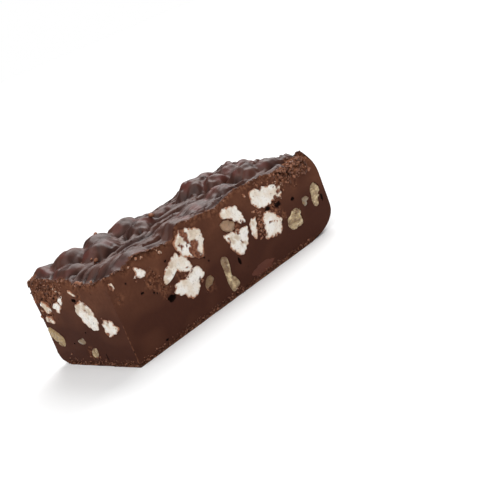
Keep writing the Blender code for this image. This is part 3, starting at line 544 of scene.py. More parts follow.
def crumb_share(side, along, height, top):
    """0 on a clean cut to 1 where the fudge broke into crumbs."""
    below = top - height
    patch = noise.noise(Vector((along / 7, height / 5, 11.0)))
    share = 0.6 * smooth_step(1 - below / (TOP_BAND * (0.8 + 0.9 * patch)))
    if side == "front":
        corner = smooth_step((along - CORNER_FROM) / CORNER_RUN) * smooth_step(1 - (below - 2.6) / 3.0)
        share = max(share, corner)
    ragged = 1 + 0.5 * drift(along, height, 1.5, 13.0)
    for gap, radius, strength in patch_gaps(BROKEN_PATCHES, side, along, height):
        share = max(share, strength * smooth_step(1.5 * (1 - gap / (radius * ragged))))
    return share


def foot_share(height, along):
    """How rough the lower edge is, where the fudge broke from its paper."""
    return smooth_step(1 - height / (FOOT_BAND * (1 + 0.6 * drift(along, height, 5, 17.0))))


def crumb_relief(point):
    """How far the broken fudge lies behind the cut: hollows, and rounded crumbs of two sizes."""
    hollows = 0.8 * max(0.0, 0.3 + noise.noise(point / 3.0))
    bent = point + 0.5 * noise.noise_vector(point / 1.5)
    large = noise.voronoi(bent / 1.9)[0][0]
    small = noise.voronoi(bent / 0.95)[0][0]
    return hollows + 1.1 * large + 0.5 * small - 0.35


def formed(co):
    """A corner of the plain block: its place on the bar, its shares of skin and crumb, and its tone.

    The tone goes from 0, dark, to 1, light in a cut and red in the skin. In a cut it is painted light,
    lighter towards the top and on the front's rolled edge, over random patches. Below 0 it is a groove's
    painted shade.
    """
    x, y, z = co
    lift_end = arc_rise(x - (HALF_LENGTH - TRAY_END_RUN), TRAY_END_RUN, TRAY_END_RISE)
    lift_side = arc_rise(y - (HALF_WIDTH - TRAY_SIDE_RUN), TRAY_SIDE_RUN, TRAY_SIDE_RISE)
    foot = math.hypot(lift_end, lift_side)
    top, taut, groove = top_form(round(x, 4), round(y, 4))
    height = foot + (z / HEIGHT) * (top - foot)
    place = Vector((x, y, height))
    from_cut = min(x + HALF_LENGTH, y + HALF_WIDTH)
    skin = 0.0
    crumb = 0.0
    # Painted light: the cut grows lighter towards the top, where the light falls, over random patches of
    # tone.
    tone = 0.7 * smooth_step((height - 10) / 18) + 0.55 * noise.noise(Vector((x / 9, y / 9, height / 6)))
    if z >= HEIGHT - ON_SIDE:
        bare = bare_share(x, y)
        ragged = max(0.15, 0.5 + 1.9 * drift(x, y, 3.2, 37.0))
        skin = smooth_step((from_cut - ragged) / 0.5) * (1 - bare)
        crumb = max(bare, 0.6 * (1 - skin))
        # The skin's tone: red where it is taut, and below 0 the painted shade of the fold grooves.
        tone = 0.8 * taut * smooth_step(0.2 + 1.7 * drift(x, y, 4.5, 41.0)) - groove
    below = top - height
    cuts = (("front", y <= ON_SIDE - HALF_WIDTH, x), ("left", x <= ON_SIDE - HALF_LENGTH, y))
    for side, on_side, along in cuts:
        if on_side:
            share = crumb_share(side, along, height, top)
            crumb = max(crumb, share)
            foot_rough = foot_share(height, along)
            crumb = max(crumb, 0.7 * foot_rough)
            rough = max(share, foot_rough if height > ON_SIDE else 0.0)
            inward = -SIDES[side].normal
            smooth = 0.05 * abs(noise.noise(place / 1.8)) + 0.3 * abs(noise.noise(place / 9))
            place += inward * (rough * crumb_relief(place) + smooth)
            if side == "front":
                rolled = smooth_step(1 - abs(x - ROLL_CENTRE) / ROLL_REACH)
                place.y += EDGE_ROLL * rolled * max(0.0, 1 - below / EDGE_ROLL_DROP) ** 2
                # Painted light: the rolled edge, which turns up towards the light, is painted lighter.
                tone += 0.6 * rolled * smooth_step(1 - below / 6)
    # A painted highlight: the upright edge between the two cuts is painted as a light line of crumb colour.
    if max(x + HALF_LENGTH, y + HALF_WIDTH) < ON_SIDE and EDGE_HIGHLIGHT_LOW < height < EDGE_HIGHLIGHT_HIGH:
        crumb = 0.9
    if y >= HALF_WIDTH - ON_SIDE:
        bay = smooth_step(1 - (x + HALF_LENGTH) / BAY_REACH)
        bay *= smooth_step(1 - abs(height - BAY_LEVEL) / BAY_RISE)
        crumb = max(crumb, 0.8 * bay, crumb_share("back", x, height, top))
        place.y -= 0.6 * crumb * crumb_relief(place) + BAY_DEPTH * bay
    place.x -= end_lean(x, height)
    place.x, place.y = rounded_corner(place.x, place.y)
    return place, skin, crumb, min(max(tone, -1.0), 1.0)


def cell_block(cell):
    """A closed block of the bar's size made of cells, from one grid for each face.

    The cells are square on the top, and on the sides they are lowest at the rim and the foot.
    """
    bm = bmesh.new()
    size = (2 * HALF_LENGTH, 2 * HALF_WIDTH, HEIGHT)
    counts = [round(length / cell) for length in size]
    counts[2] = round(HEIGHT / cell / SIDE_CELL)
    for axis in range(3):
        u = (axis + 1) % 3
        v = (axis + 2) % 3
        for end in (-1, 1):
            place = Matrix.Diagonal((0, 0, 0, 1))
            place[u][0] = size[u]
            place[v][1] = size[v]
            place[axis][3] = end * size[axis] / 2
            place[2][3] += HEIGHT / 2
            bmesh.ops.create_grid(bm, x_segments=counts[u], y_segments=counts[v], size=0.5, matrix=place)
    bmesh.ops.remove_doubles(bm, verts=bm.verts, dist=cell / 20)
    for vert in bm.verts:
        share = vert.co.z / HEIGHT
        vert.co.z = HEIGHT * (share + 0.6 * (smooth_step(share) - share))
    return bm


def new_layers(bm, *names):
    return [bm.verts.layers.float.new(name) for name in names]


def set_values(vert, layers, values):
    for layer, value in zip(layers, values):
        vert[layer] = value


def bar_mesh(cell):
    """The bar without its pockets and pits, with the shares that tell its surfaces apart."""
    bm = cell_block(cell)
    layers = new_layers(bm, "skin", "crumb", "tone")
    for vert in bm.verts:
        vert.co, *values = formed(vert.co)
        set_values(vert, layers, values)
    flat = [face for face in bm.faces if max(vert.co.z for vert in face.verts) < ON_SIDE]
    bmesh.ops.dissolve_faces(bm, faces=flat, use_verts=True)
    face_out(bm)
    return bm


# Shapes of the chunks.


def face_out(bm):
    """The closed mesh's faces made to agree and to point outwards."""
    bmesh.ops.recalc_face_normals(bm, faces=bm.faces)
    if bm.calc_volume(signed=True) < 0:
        bmesh.ops.reverse_faces(bm, faces=bm.faces)


def edge_reach(start, end, centre, direction):
    """How far one edge of an outline is from the centre in a direction, or 0 where it isn't met."""
    run = end - start
    across = direction.x * run.y - direction.y * run.x
    if abs(across) < 1e-9:
        return 0.0
    offset = start - centre
    far = (offset.x * run.y - offset.y * run.x) / across
    share = (offset.x * direction.y - offset.y * direction.x) / across
    return far if far > 0 and -1e-6 <= share <= 1 + 1e-6 else 0.0


def outline_reach(chunk, centre, angle):
    """The outline's distance from the centre, with its corners rounded over a few degrees to each side."""
    points = [Vector(corner) for corner in chunk.corners]
    total = 0.0
    for step in OUTLINE_ROUNDING:
        turned = angle + math.radians(step)
        direction = Vector((math.cos(turned), math.sin(turned)))
        total += max(
            edge_reach(start, end, centre, direction) for start, end in zip(points, points[1:] + points[:1])
        )
    return total / len(OUTLINE_ROUNDING)


def ragged_reach(chunk, centre, angle):
    """The outline with the torn edge of foam or the chipped edge of a nut."""
    reach = outline_reach(chunk, centre, angle)
    tear = TEAR[chunk.kind] * min(1.0, reach / 2.5)
    spot = Vector((centre.x + reach * math.cos(angle), centre.y + reach * math.sin(angle), 0))
    reach += tear * noise.noise(spot / 1.4) * 1.3
    return reach + tear * noise.noise(spot / 0.6 + Vector((3, 3, 3))) * 0.35


def outline_area(chunk):
    """Twice the outline's signed area, and its middle."""
    total = 0.0
    middle = Vector((0.0, 0.0))
    for start, end in zip(chunk.corners, chunk.corners[1:] + chunk.corners[:1]):
        cross = start[0] * end[1] - end[0] * start[1]
        total += cross
        middle += Vector((start[0] + end[0], start[1] + end[1])) * cross
    return total, middle / (3 * total)


def smear_share(chunk, along, up):
    """1 inside a patch of chocolate on this side, with a ragged edge, and 0 outside."""
    spot = Vector((along, up, 0))
    bent = spot + 0.75 * noise.noise_vector(spot / 1.3) + 0.4 * noise.noise_vector(spot / 0.55)
    share = 0.0
    for gap, radius in patch_gaps(SMEARS, chunk.side, bent.x, bent.y):
        share = max(share, smooth_step(0.5 - (gap - radius) / 0.3))
    return share


def darker_share(chunk, along, up):
    """1 in a darker patch of the cut, fading outwards, and 0 outside."""
    spot = Vector((along, up, 0))
    bent = spot + 1.4 * noise.noise_vector(spot / 1.7)
    share = 0.0
    for gap, radius in patch_gaps(DARKER_PATCHES, chunk.side, bent.x, bent.y):
        share = max(share, smooth_step(1.25 - gap / radius))
    return share


def crease(point):
    """1 along sharp winding lines and 0 between them."""
    return max(0.0, 1 - 2.6 * abs(noise.noise(point))) ** 2


def cut_relief(chunk, along, up, edge, smear):
    """Height of the cut chunk over its side's plane."""
    spot = Vector((along, up, 3.0 if chunk.kind == "marshmallow" else 8.0))
    level = 0.22 * noise.noise(spot / 3.0) + 0.12 * noise.noise(spot / 1.1)
    if chunk.kind == "marshmallow":
        level -= 0.25 * max(0.0, noise.noise(spot / 0.7) - 0.25)
    else:
        round_out = 0.8 if chunk.name in ROUND_NUTS else 0.25
        level += round_out * (1 - edge**3) + 0.25 * noise.noise(spot / 0.9)
        level -= 0.35 * crease(Vector((along / 3, up / 1.4, 5.0)))
    return level - 0.35 * smear - 0.15 * max(0.0, (edge - 0.92) / 0.08) ** 2


def side_place(side, along, up, out):
    """A place this far out of the plane of one of the sides."""
    plane = SIDES[side]
    return plane.point + plane.along * along + UP * up + plane.normal * out


def lump_mesh(chunk, spacing, grown=0.0, cutter=False):
    """The chunk as a closed lump, flush with its side. A cutter stands out of the side instead."""
    area, centre = outline_area(chunk)
    depth = DEPTH_SHARE[chunk.kind] * math.sqrt(abs(area) / math.tau)
    spread = max((Vector(corner) - centre).length for corner in chunk.corners)
    segments = max(24, 4 * round(2 * math.pi * spread * 0.8 / spacing / 4))
    rings = max(10, 2 * round(math.pi * spread * 0.55 / spacing / 2))
    bm = bmesh.new()
    bmesh.ops.create_uvsphere(bm, u_segments=segments, v_segments=rings, radius=1.0)
    layers = new_layers(bm, "smear", "edge", "skin", "crumb", "tone")
    for vert in bm.verts:
        a, b, c = vert.co
        outer = c > -1e-5
        angle = math.atan2(b, a)
        full = ragged_reach(chunk, centre, angle) + grown
        edge = math.acos(min(max(c, 0.0), 1.0)) / (math.pi / 2) if outer else 1.0
        share = edge if outer else math.hypot(a, b)
        along = centre.x + full * share * math.cos(angle)
        up = centre.y + full * share * math.sin(angle)
        smear = smear_share(chunk, along, up)
        if cutter:
            out = 2.0 * c if c > 0 else (depth + grown) * c
        elif outer:
            out = cut_relief(chunk, along, up, edge, smear)
        else:
            out = depth * c - 0.3
        fringe = smooth_step(1 - full * (1 - share) / FRINGE)
        # A chunk's tone marks its darker grey or creamy patches.
        tone = 0.2 if cutter else darker_share(chunk, along, up)
        set_values(vert, layers, (smear, fringe, 0.0, 0.5, tone))
        vert.co = side_place(chunk.side, along, up, out)
    face_out(bm)
    return bm


def cutter_mesh(chunk, spacing):
    """What makes room for a chunk, in the bar or in a neighbour."""
    return lump_mesh(chunk, CUTTER_SPACING * spacing, ROOM, True)


def cut_at_sides(bm, proud):
    """Everything that stands further than this out of the bar's four sides cut away, and closed."""
    for side in SIDES.values():
        geometry = list(bm.verts) + list(bm.edges) + list(bm.faces)
        cut = bmesh.ops.bisect_plane(
            bm,
            geom=geometry,
            plane_co=side.point + side.normal * proud,
            plane_no=side.normal,
            clear_outer=True,
        )
        edges = [item for item in cut["geom_cut"] if isinstance(item, bmesh.types.BMEdge)]
        if edges:
            bmesh.ops.holes_fill(bm, edges=edges, sides=0)
    face_out(bm)


def pit_mesh(pit):
    """A small rough hollow's cutter."""
    side = SIDES[pit.side]
    bm = bmesh.new()
    bmesh.ops.create_icosphere(bm, subdivisions=3, radius=1.0)
    layers = new_layers(bm, "skin", "crumb", "tone")
    # A pit's crumb share of -0.6 paints shade into it. A dent gets some skin, for the shine, and the light
    # tone, partly a painted sheen.
    values = (0.0, -0.6, 0.0) if pit.depth > DENT_DEPTH else (0.45, 0.0, 1.0)
    for vert in bm.verts:
        uneven = 1 + 0.5 * noise.noise(vert.co * 1.6 + Vector((pit.along, pit.up, 0)))
        along = pit.along + pit.long * uneven * vert.co.x
        up = pit.up + pit.short * uneven * vert.co.y
        set_values(vert, layers, values)
        vert.co = side.point + side.along * along + UP * up + side.normal * pit.depth * vert.co.z
    face_out(bm)
    return bm


def all_chunks():
    """Every chunk, with the walnuts before the marshmallows, which give way to them."""
    chunks = []
    for kind, sides in (("walnut", WALNUT_OUTLINES), ("marshmallow", MARSHMALLOW_OUTLINES)):
        count = 0
        for side, outlines in sides.items():
            for corners in outlines:
                count += 1
                chunks.append(Chunk(f"{kind}_{count:02d}", kind, side, corners))
    return chunks


# Objects, collections and cuts.


def new_object(name, bm, collection=None):
    """The mesh, worked in millimetres, as an object in metres."""
    bmesh.ops.scale(bm, vec=(MM, MM, MM), verts=bm.verts)
    mesh = bpy.data.meshes.new(name)
    bm.to_mesh(mesh)
    bm.free()
    obj = bpy.data.objects.new(name, mesh)
    (collection or bpy.context.scene.collection).objects.link(obj)
    return obj


def new_collection(name):
    collection = bpy.data.collections.new(name)
    bpy.context.scene.collection.children.link(collection)
    return collection


def remove_collection(collection):
    for obj in list(collection.objects):
        bpy.data.objects.remove(obj, do_unlink=True)
    bpy.data.collections.remove(collection)


def cut_by(obj, cutters):
    """The cutters' collection taken from the object, which keeps the result as its own mesh."""
    modifier = obj.modifiers.new("Cut", "BOOLEAN")
    modifier.operation = "DIFFERENCE"
    modifier.solver = "MANIFOLD"
    modifier.operand_type = "COLLECTION"
    modifier.collection = cutters
    graph = bpy.context.evaluated_depsgraph_get()
    mesh = bpy.data.meshes.new_from_object(obj.evaluated_get(graph))
    obj.modifiers.clear()
    obj.data = mesh


def near(first, second):
    """Whether two chunks on one side come close enough for one to need a cut."""
    if first.side != second.side:
        return False
    for axis in (0, 1):
        firsts = [corner[axis] for corner in first.corners]
        seconds = [corner[axis] for corner in second.corners]
        if min(firsts) > max(seconds) + NEAR_GAP or min(seconds) > max(firsts) + NEAR_GAP:
            return False
    return True


def finish_piece(obj, material, nodes, sharp=50):
    obj.data.materials.clear()
    obj.data.materials.append(material)
    obj.data.shade_smooth()
    obj.data.set_sharp_from_angle(angle=math.radians(sharp))
    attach(obj, BODY)
    if nodes:
        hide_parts(*nodes)


# Materials.


def set_inputs(node, inputs):
    """The node's inputs, by name, set to values or linked from sockets."""
    for name, value in inputs.items():
        if isinstance(value, bpy.types.NodeSocket):
            node.id_data.links.new(value, node.inputs[name])
        else:
            node.inputs[name].default_value = value


def add_node(tree, kind, inputs=None, **settings):
    """A node with its settings and its inputs."""
    node = tree.nodes.new(kind)
    for name, value in settings.items():
        setattr(node, name, value)
    set_inputs(node, inputs or {})
    return node


def math_node(tree, operation, first, second, clamp=False):
    inputs = {0: first, 1: second}
    return add_node(tree, "ShaderNodeMath", inputs, operation=operation, use_clamp=clamp).outputs[0]


def new_group(name, inputs, outputs):
    """A node group with a vector input, the float inputs and outputs, and its two end nodes."""
    group = bpy.data.node_groups.new(name, "ShaderNodeTree")
    group.interface.new_socket("Vector", in_out="INPUT", socket_type="NodeSocketVector")
    for label, default in inputs.items():
        socket = group.interface.new_socket(label, in_out="INPUT", socket_type="NodeSocketFloat")
        socket.default_value = default
    for label in outputs:
        group.interface.new_socket(label, in_out="OUTPUT", socket_type="NodeSocketFloat")
    return group, group.nodes.new("NodeGroupInput").outputs, group.nodes.new("NodeGroupOutput")


def patches_group():
    """A mask of soft uneven patches, for colour that drifts over a surface."""
    if "Patches" in bpy.data.node_groups:
        return bpy.data.node_groups["Patches"]
    group, given, out = new_group("Patches", {"Scale": 150.0, "Low": 0.4, "High": 0.6}, ("Mask",))
    inputs = {"Vector": given["Vector"], "Scale": given["Scale"], "Detail": 4.0}
    cloud = add_node(group, "ShaderNodeTexNoise", inputs).outputs["Fac"]
    inputs = {"Value": cloud, "From Min": given["Low"], "From Max": given["High"]}
    set_inputs(out, {"Mask": add_node(group, "ShaderNodeMapRange", inputs).outputs["Result"]})
    return group


def grain_group():
    """Height of a fine grain with pinholes, and a mask of the pinholes."""
    if "Grain" in bpy.data.node_groups:
        return bpy.data.node_groups["Grain"]
    inputs = {"Grain scale": 1400.0, "Hole scale": 700.0, "Hole size": 0.16}
    group, given, out = new_group("Grain", inputs, ("Height", "Holes"))
    inputs = {"Vector": given["Vector"], "Scale": given["Grain scale"], "Detail": 3.0}
    grain = add_node(group, "ShaderNodeTexNoise", inputs).outputs["Fac"]
    inputs = {"Vector": given["Vector"], "Scale": given["Hole scale"]}
    cells = add_node(group, "ShaderNodeTexVoronoi", inputs).outputs
    holes = math_node(group, "LESS_THAN", cells["Distance"], given["Hole size"])
    sparse = math_node(group, "GREATER_THAN", cells["Color"], 0.72)
    holes = math_node(group, "MULTIPLY", holes, sparse)
    set_inputs(out, {"Height": math_node(group, "SUBTRACT", grain, holes), "Holes": holes})
    return group


class Paint:
    """A new material, with short ways to add the nodes that it is made of."""

    def __init__(self, name):
        self.material = bpy.data.materials.new(name)
        self.material.use_nodes = True
        self.tree = self.material.node_tree
        self.place = self.coordinates()

    def coordinates(self, scale=(1.0, 1.0, 1.0), turn=(0.0, 0.0, 0.0)):
        """Places on the piece, scaled and turned for a pattern that has a direction."""
        place = self.tree.nodes.new("ShaderNodeTexCoord").outputs["Object"]
        inputs = {"Vector": place, "Scale": scale, "Rotation": turn}
        return add_node(self.tree, "ShaderNodeMapping", inputs).outputs["Vector"]

    def share(self, name):
        """A value that the mesh keeps for each corner."""
        return add_node(self.tree, "ShaderNodeAttribute", attribute_name=name).outputs["Fac"]

    def times(self, first, second, clamp=False):
        return math_node(self.tree, "MULTIPLY", first, second, clamp)

    def plus(self, first, second):
        return math_node(self.tree, "ADD", first, second)

    def larger(self, first, second):
        return math_node(self.tree, "MAXIMUM", first, second)

    def mix(self, share, first, second):
        """The first colour, and the second by its share."""
        inputs = {0: share, 6: first, 7: second}
        return add_node(self.tree, "ShaderNodeMix", inputs, data_type="RGBA").outputs[2]

    def patches(self, scale, low, high, place=None):
        place = self.place if place is None else place
        inputs = {"Vector": place, "Scale": scale, "Low": low, "High": high}
        return add_node(self.tree, "ShaderNodeGroup", inputs, node_tree=patches_group()).outputs["Mask"]

    def grain(self, grain_scale, hole_scale, hole_size):
        inputs = {
            "Vector": self.place,
            "Grain scale": grain_scale,
            "Hole scale": hole_scale,
            "Hole size": hole_size,
        }
        return add_node(self.tree, "ShaderNodeGroup", inputs, node_tree=grain_group()).outputs

    def bump(self, height, strength, distance):
        inputs = {"Strength": strength, "Distance": distance, "Height": height}
        return add_node(self.tree, "ShaderNodeBump", inputs).outputs["Normal"]

    def finish(self, inputs):
        set_inputs(self.tree.nodes["Principled BSDF"], inputs)
        return self.material


def fudge_material(sizes):
    """Cut fudge, its crumbs and its skin, told apart by the mesh's own skin and crumb shares."""
    paint = Paint("fudge_cut_and_skin")
    stretched = paint.coordinates(scale=(0.18, 1.0, 0.6), turn=(0.0, 0.0, -0.25))
    skin = paint.share("skin")
    crumb = paint.share("crumb")
    tone = paint.share("tone")
    broad = paint.patches(120.0, 0.35, 0.65)
    fine = paint.patches(900.0, 0.4, 0.62)
    creased = paint.patches(900.0, 0.3, 0.7, stretched)
    grain = paint.grain(1800.0, 420.0, 0.1)
    pores = paint.grain(1800.0, 800.0, 0.36)

    # The cut and its crumbs. The tone paints the cut lighter towards the top and on the rolled edge as
    # painted light, and the pits, pinholes and pores get painted shade.
    cut = paint.mix(tone, sizes.cut_dark, sizes.cut_light)
    cut = paint.mix(paint.times(broad, 0.35), cut, sizes.cut_dark)
    cut = paint.mix(paint.times(fine, 0.3), cut, sizes.crumb_dark)
    broken = paint.mix(fine, sizes.crumb_dark, sizes.crumb_light)
    crumbs = paint.times(crumb, paint.plus(paint.times(broad, 0.4), 0.75), True)
    body = paint.mix(crumbs, cut, broken)
    # Painted shade: the pits' negative crumb share, the pinholes and the pores in crumbly places take the
    # shade colour.
    hollow = paint.larger(paint.times(crumb, -2.0, True), paint.times(grain["Holes"], 0.7))
    crumb_pore_shade = paint.times(paint.times(crumbs, 1.1, True), pores["Holes"])
    body = paint.mix(paint.larger(hollow, crumb_pore_shade), body, sizes.hole)
    # The skin, red where it is taut, with painted shade in its grooves.
    film = paint.mix(broad, sizes.skin_dark, sizes.skin_light)
    film = paint.mix(paint.times(tone, 0.75), film, sizes.skin_red)
    film = paint.mix(paint.times(tone, -0.9, True), film, sizes.hole)

    rough_cut = paint.plus(0.58, paint.times(crumbs, 0.3))
    rough_skin = paint.plus(0.36, paint.times(broad, 0.14))
    rough = add_node(paint.tree, "ShaderNodeMix", {0: skin, 2: rough_cut, 3: rough_skin})
    broken_relief = paint.times(crumbs, 1.2)
    relief = paint.times(grain["Height"], paint.plus(0.1, broken_relief))
    relief = paint.plus(relief, paint.times(fine, broken_relief))
    relief = paint.plus(relief, paint.times(creased, paint.times(skin, 0.45)))
    return paint.finish({
        "Base Color": paint.mix(skin, body, film),
        "Roughness": rough.outputs[0],
        "Specular IOR Level": 0.02,
        "Coat Weight": paint.times(skin, 0.46),
        "Coat Roughness": 0.4,
        "Normal": paint.bump(relief, 0.6, 0.00018),
    })


def marshmallow_material(sizes):
    """White foam with pores, darker grey or creamy in patches and stained where chocolate smeared over its
    cut.
    """
    paint = Paint("marshmallow_foam")
    edge = paint.share("edge")
    broad = paint.patches(260.0, 0.4, 0.65)
    fine = paint.patches(1000.0, 0.45, 0.7)
    specks = paint.patches(1100.0, 0.66, 0.72)
    grain = paint.grain(1500.0, 1500.0, 0.32)
    foam = paint.mix(broad, sizes.foam_white, sizes.foam_cream)
    foam = paint.mix(paint.times(grain["Holes"], 0.35), foam, sizes.foam_shade)
    foam = paint.mix(paint.times(specks, 0.6), foam, sizes.stain)
    # The darker grey or creamy patches, from the chunk's tone.
    foam = paint.mix(paint.share("tone"), foam, sizes.foam_darker)
    foam = paint.mix(paint.times(edge, 0.6), foam, sizes.foam_cream)
    ragged = paint.plus(paint.times(fine, 0.55), paint.times(broad, 0.4))
    ragged = paint.plus(ragged, paint.times(edge, 0.85))
    ragged = paint.times(paint.plus(ragged, -0.72), 2.2, True)
    colour = paint.mix(ragged, foam, paint.mix(specks, sizes.fringe, sizes.stain))
    colour = paint.mix(paint.share("smear"), colour, paint.mix(fine, sizes.stain, sizes.fringe))
    return paint.finish({
        "Base Color": colour,
        "Roughness": 0.75,
        "Specular IOR Level": 0.3,
        "Subsurface Weight": 0.25,
        "Subsurface Radius": (1.0, 0.8, 0.65),
        "Subsurface Scale": 0.0012,
        "Normal": paint.bump(paint.plus(grain["Height"], fine), 0.7, 0.00022),
    })


def walnut_material(name, light, dark, skin, veining):
    """Nut flesh with veins and scraps of brown skin."""
    paint = Paint(name)
    veined = paint.coordinates(scale=(1.0, 1.0, 2.6), turn=(0.3, 0.5, 0.2))
    broad = paint.patches(420.0, 0.38, 0.62)
    veins = paint.patches(520.0, 0.48, 0.6, veined)
    fine = paint.patches(1500.0, 0.4, 0.65)
    grain = paint.grain(1700.0, 900.0, 0.12)
    flesh = paint.mix(broad, light, dark)
    flesh = paint.mix(paint.times(veins, veining), flesh, skin)
    flesh = paint.mix(paint.times(paint.share("tone"), 0.7), flesh, skin)
    ragged = paint.times(paint.share("edge"), paint.plus(fine, -0.1), True)
    relief = paint.times(paint.plus(grain["Height"], veins), 0.4 + veining)
    return paint.finish({
        "Base Color": paint.mix(ragged, flesh, skin),
        "Roughness": 0.42,
        "Specular IOR Level": 0.45,
        "Subsurface Weight": 0.15,
        "Subsurface Radius": (1.0, 0.7, 0.35),
        "Subsurface Scale": 0.0008,
        "Normal": paint.bump(relief, 0.6, 0.0002),
    })


def walnut_materials(sizes):
    """The cut flesh of most pieces, and the finishes of those that look different, by chunk."""
    tan = sizes.flesh_tan
    skin = sizes.nut_skin
    dull = walnut_material("walnut_dull", sizes.flesh_grey, tan, skin, 0.25)
    finishes = {
        "walnut_01": walnut_material("walnut_skinned", sizes.nut_brown, tan, skin, 0.1),
        "walnut_02": walnut_material("walnut_soaked", tan, sizes.nut_olive, skin, 0.3),
        "walnut_06": dull,
        "walnut_07": walnut_material("walnut_smooth", sizes.flesh_yellow, tan, tan, 0.05),
        "walnut_08": dull,
    }
    return walnut_material("walnut_flesh", sizes.flesh_cream, tan, skin, 0.4), finishes


def crumb_material(sizes):
    """Loose crumbs and shards of fudge, each in its own tone."""
    paint = Paint("fudge_crumbs")
    fine = paint.patches(1200.0, 0.35, 0.65)
    light = paint.times(paint.share("tone"), paint.plus(fine, 0.5), True)
    height = paint.grain(2500.0, 1500.0, 0.1)["Height"]
    return paint.finish({
        "Base Color": paint.mix(light, sizes.crumb_dark, sizes.crumb_bright),
        "Roughness": 0.5,
        "Specular IOR Level": 0.3,
        "Normal": paint.bump(height, 0.5, 0.0001),
    })


def fleck_material(sizes):
    """Torn flecks of marshmallow, from white to stained."""
    paint = Paint("marshmallow_flecks")
    pale = paint.mix(paint.share("tone"), sizes.fringe, sizes.foam_cream)
    height = paint.grain(1500.0, 1500.0, 0.3)["Height"]
    return paint.finish({
        "Base Color": paint.mix(paint.patches(900.0, 0.4, 0.6), pale, sizes.fringe),
        "Roughness": 0.7,
        "Specular IOR Level": 0.3,
        "Normal": paint.bump(height, 0.6, 0.0001),
    })


# What a user may change.


def colour_property(label, description, default):
    limits = {"size": 4, "min": 0.0, "max": 1.0, "subtype": "COLOR"}
    default = (*default, 1.0)
    return bpy.props.FloatVectorProperty(name=label, description=description, default=default, **limits)


def number_property(label, description, default, **limits):
    return bpy.props.FloatProperty(name=label, description=description, default=default, **limits)


class FudgeSettings(bpy.types.PropertyGroup):
    cell: number_property("Cell", "Spacing of the bar's top, in millimetres", 0.366, min=0.3, max=3.0)
    # The tone mixes these two, so the lighter one is also painted light towards the top of the cut.
    cut_dark: colour_property("Cut, dark", "Darker patches of the cut fudge", (0.057, 0.0205, 0.0138))
    cut_light: colour_property("Cut, light", "Lighter patches of the cut fudge", (0.14, 0.0555, 0.031))
    crumb_dark: colour_property("Crumb, dark", "Darker crumbs", (0.07, 0.0245, 0.0138))
    crumb_light: colour_property("Crumb, light", "Lighter crumbs", (0.27, 0.115, 0.064))
    crumb_bright: colour_property("Crumb, bright", "The lightest of the loose crumbs", (0.31, 0.13, 0.072))
    skin_dark: colour_property("Skin, dark", "Darker patches of the top skin", (0.048, 0.0172, 0.0125))
    skin_light: colour_property("Skin, light", "Lighter patches of the top skin", (0.084, 0.03, 0.0192))
    skin_red: colour_property("Skin, red", "Skin drawn thin over a swell", (0.125, 0.026, 0.019))
    # Painted shade, put into the pinholes, the pores, the pits and the skin's grooves.
    hole: colour_property("Pinhole", "The shade in the fudge's pinholes", (0.015, 0.007, 0.005))


class ChunkSettings(bpy.types.PropertyGroup):
    spacing: number_property("Spacing", "Spacing on the chunks, in millimetres", 0.34, min=0.2, max=2.0)
    foam_white: colour_property("Foam, white", "Marshmallow", (0.87, 0.83, 0.775))
    foam_cream: colour_property("Foam, cream", "Creamy patches of marshmallow", (0.74, 0.63, 0.51))
    foam_shade: colour_property("Foam, pores", "The shade in the marshmallow's pores", (0.42, 0.36, 0.30))
    # The colour of the darker grey and creamy patches of the foam.
    foam_darker: colour_property("Foam, soaked", "Where the marshmallow is soaked", (0.6, 0.485, 0.37))
    stain: colour_property("Stain", "Chocolate smeared over a cut chunk", (0.13, 0.038, 0.018))
    fringe: colour_property("Fringe", "The stained edge of a cut chunk", (0.38, 0.16, 0.085))
    flesh_cream: colour_property("Nut, cream", "Pale walnut flesh", (0.66, 0.52, 0.31))
    flesh_tan: colour_property("Nut, tan", "Darker walnut flesh", (0.24, 0.15, 0.075))
    flesh_grey: colour_property("Nut, grey", "Dull, soaked walnut flesh", (0.27, 0.22, 0.16))
    flesh_yellow: colour_property("Nut, yellow", "Smooth yellow walnut flesh", (0.44, 0.31, 0.145))
    nut_olive: colour_property("Nut, olive", "Walnut flesh soaked with fudge", (0.17, 0.095, 0.04))
    nut_brown: colour_property("Nut, brown", "A walnut piece that shows its skin", (0.39, 0.235, 0.145))
    nut_skin: colour_property("Nut, skin", "Walnut skin and veins", (0.15, 0.072, 0.033))


class CrumbSettings(bpy.types.PropertyGroup):
    share: number_property("Share", "How many crumbs there are, 1 as built", 1.0, min=0.0, max=3.0)
    size: number_property("Size", "How large the crumbs are, 1 as built", 1.0, min=0.3, max=2.0)


class StageSettings(bpy.types.PropertyGroup):
    key: number_property("Key light", "Strength of the broad light above and behind", 2.6, min=0.0)
    fill: number_property("Fill light", "Strength of the broad light beside the camera", 2.2, min=0.0)
    sky: number_property("Surroundings", "Brightness of the room that lights the bar", 0.22, min=0.0)


# One operator for each group of pieces.


class FUDGE_OT_bar(bpy.types.Operator):
    """Builds the bar of fudge with its skin, cut sides, pockets and pits"""

    bl_idname = "fudge.bar"
    bl_label = "Fudge Bar"

    def execute(self, context):
        sizes = context.scene.fudge_bar
        cutters = new_collection("pockets")
        spacing = context.scene.fudge_chunks.spacing
        for chunk in all_chunks():
            new_object(chunk.name + "_pocket", cutter_mesh(chunk, spacing), cutters)
        for pit in PITS:
            new_object("pit", pit_mesh(pit), cutters)
        bar = new_object("fudge_bar", bar_mesh(sizes.cell))
        cut_by(bar, cutters)
        remove_collection(cutters)
        finish_piece(bar, fudge_material(sizes), ["fudge"])
        return {"FINISHED"}


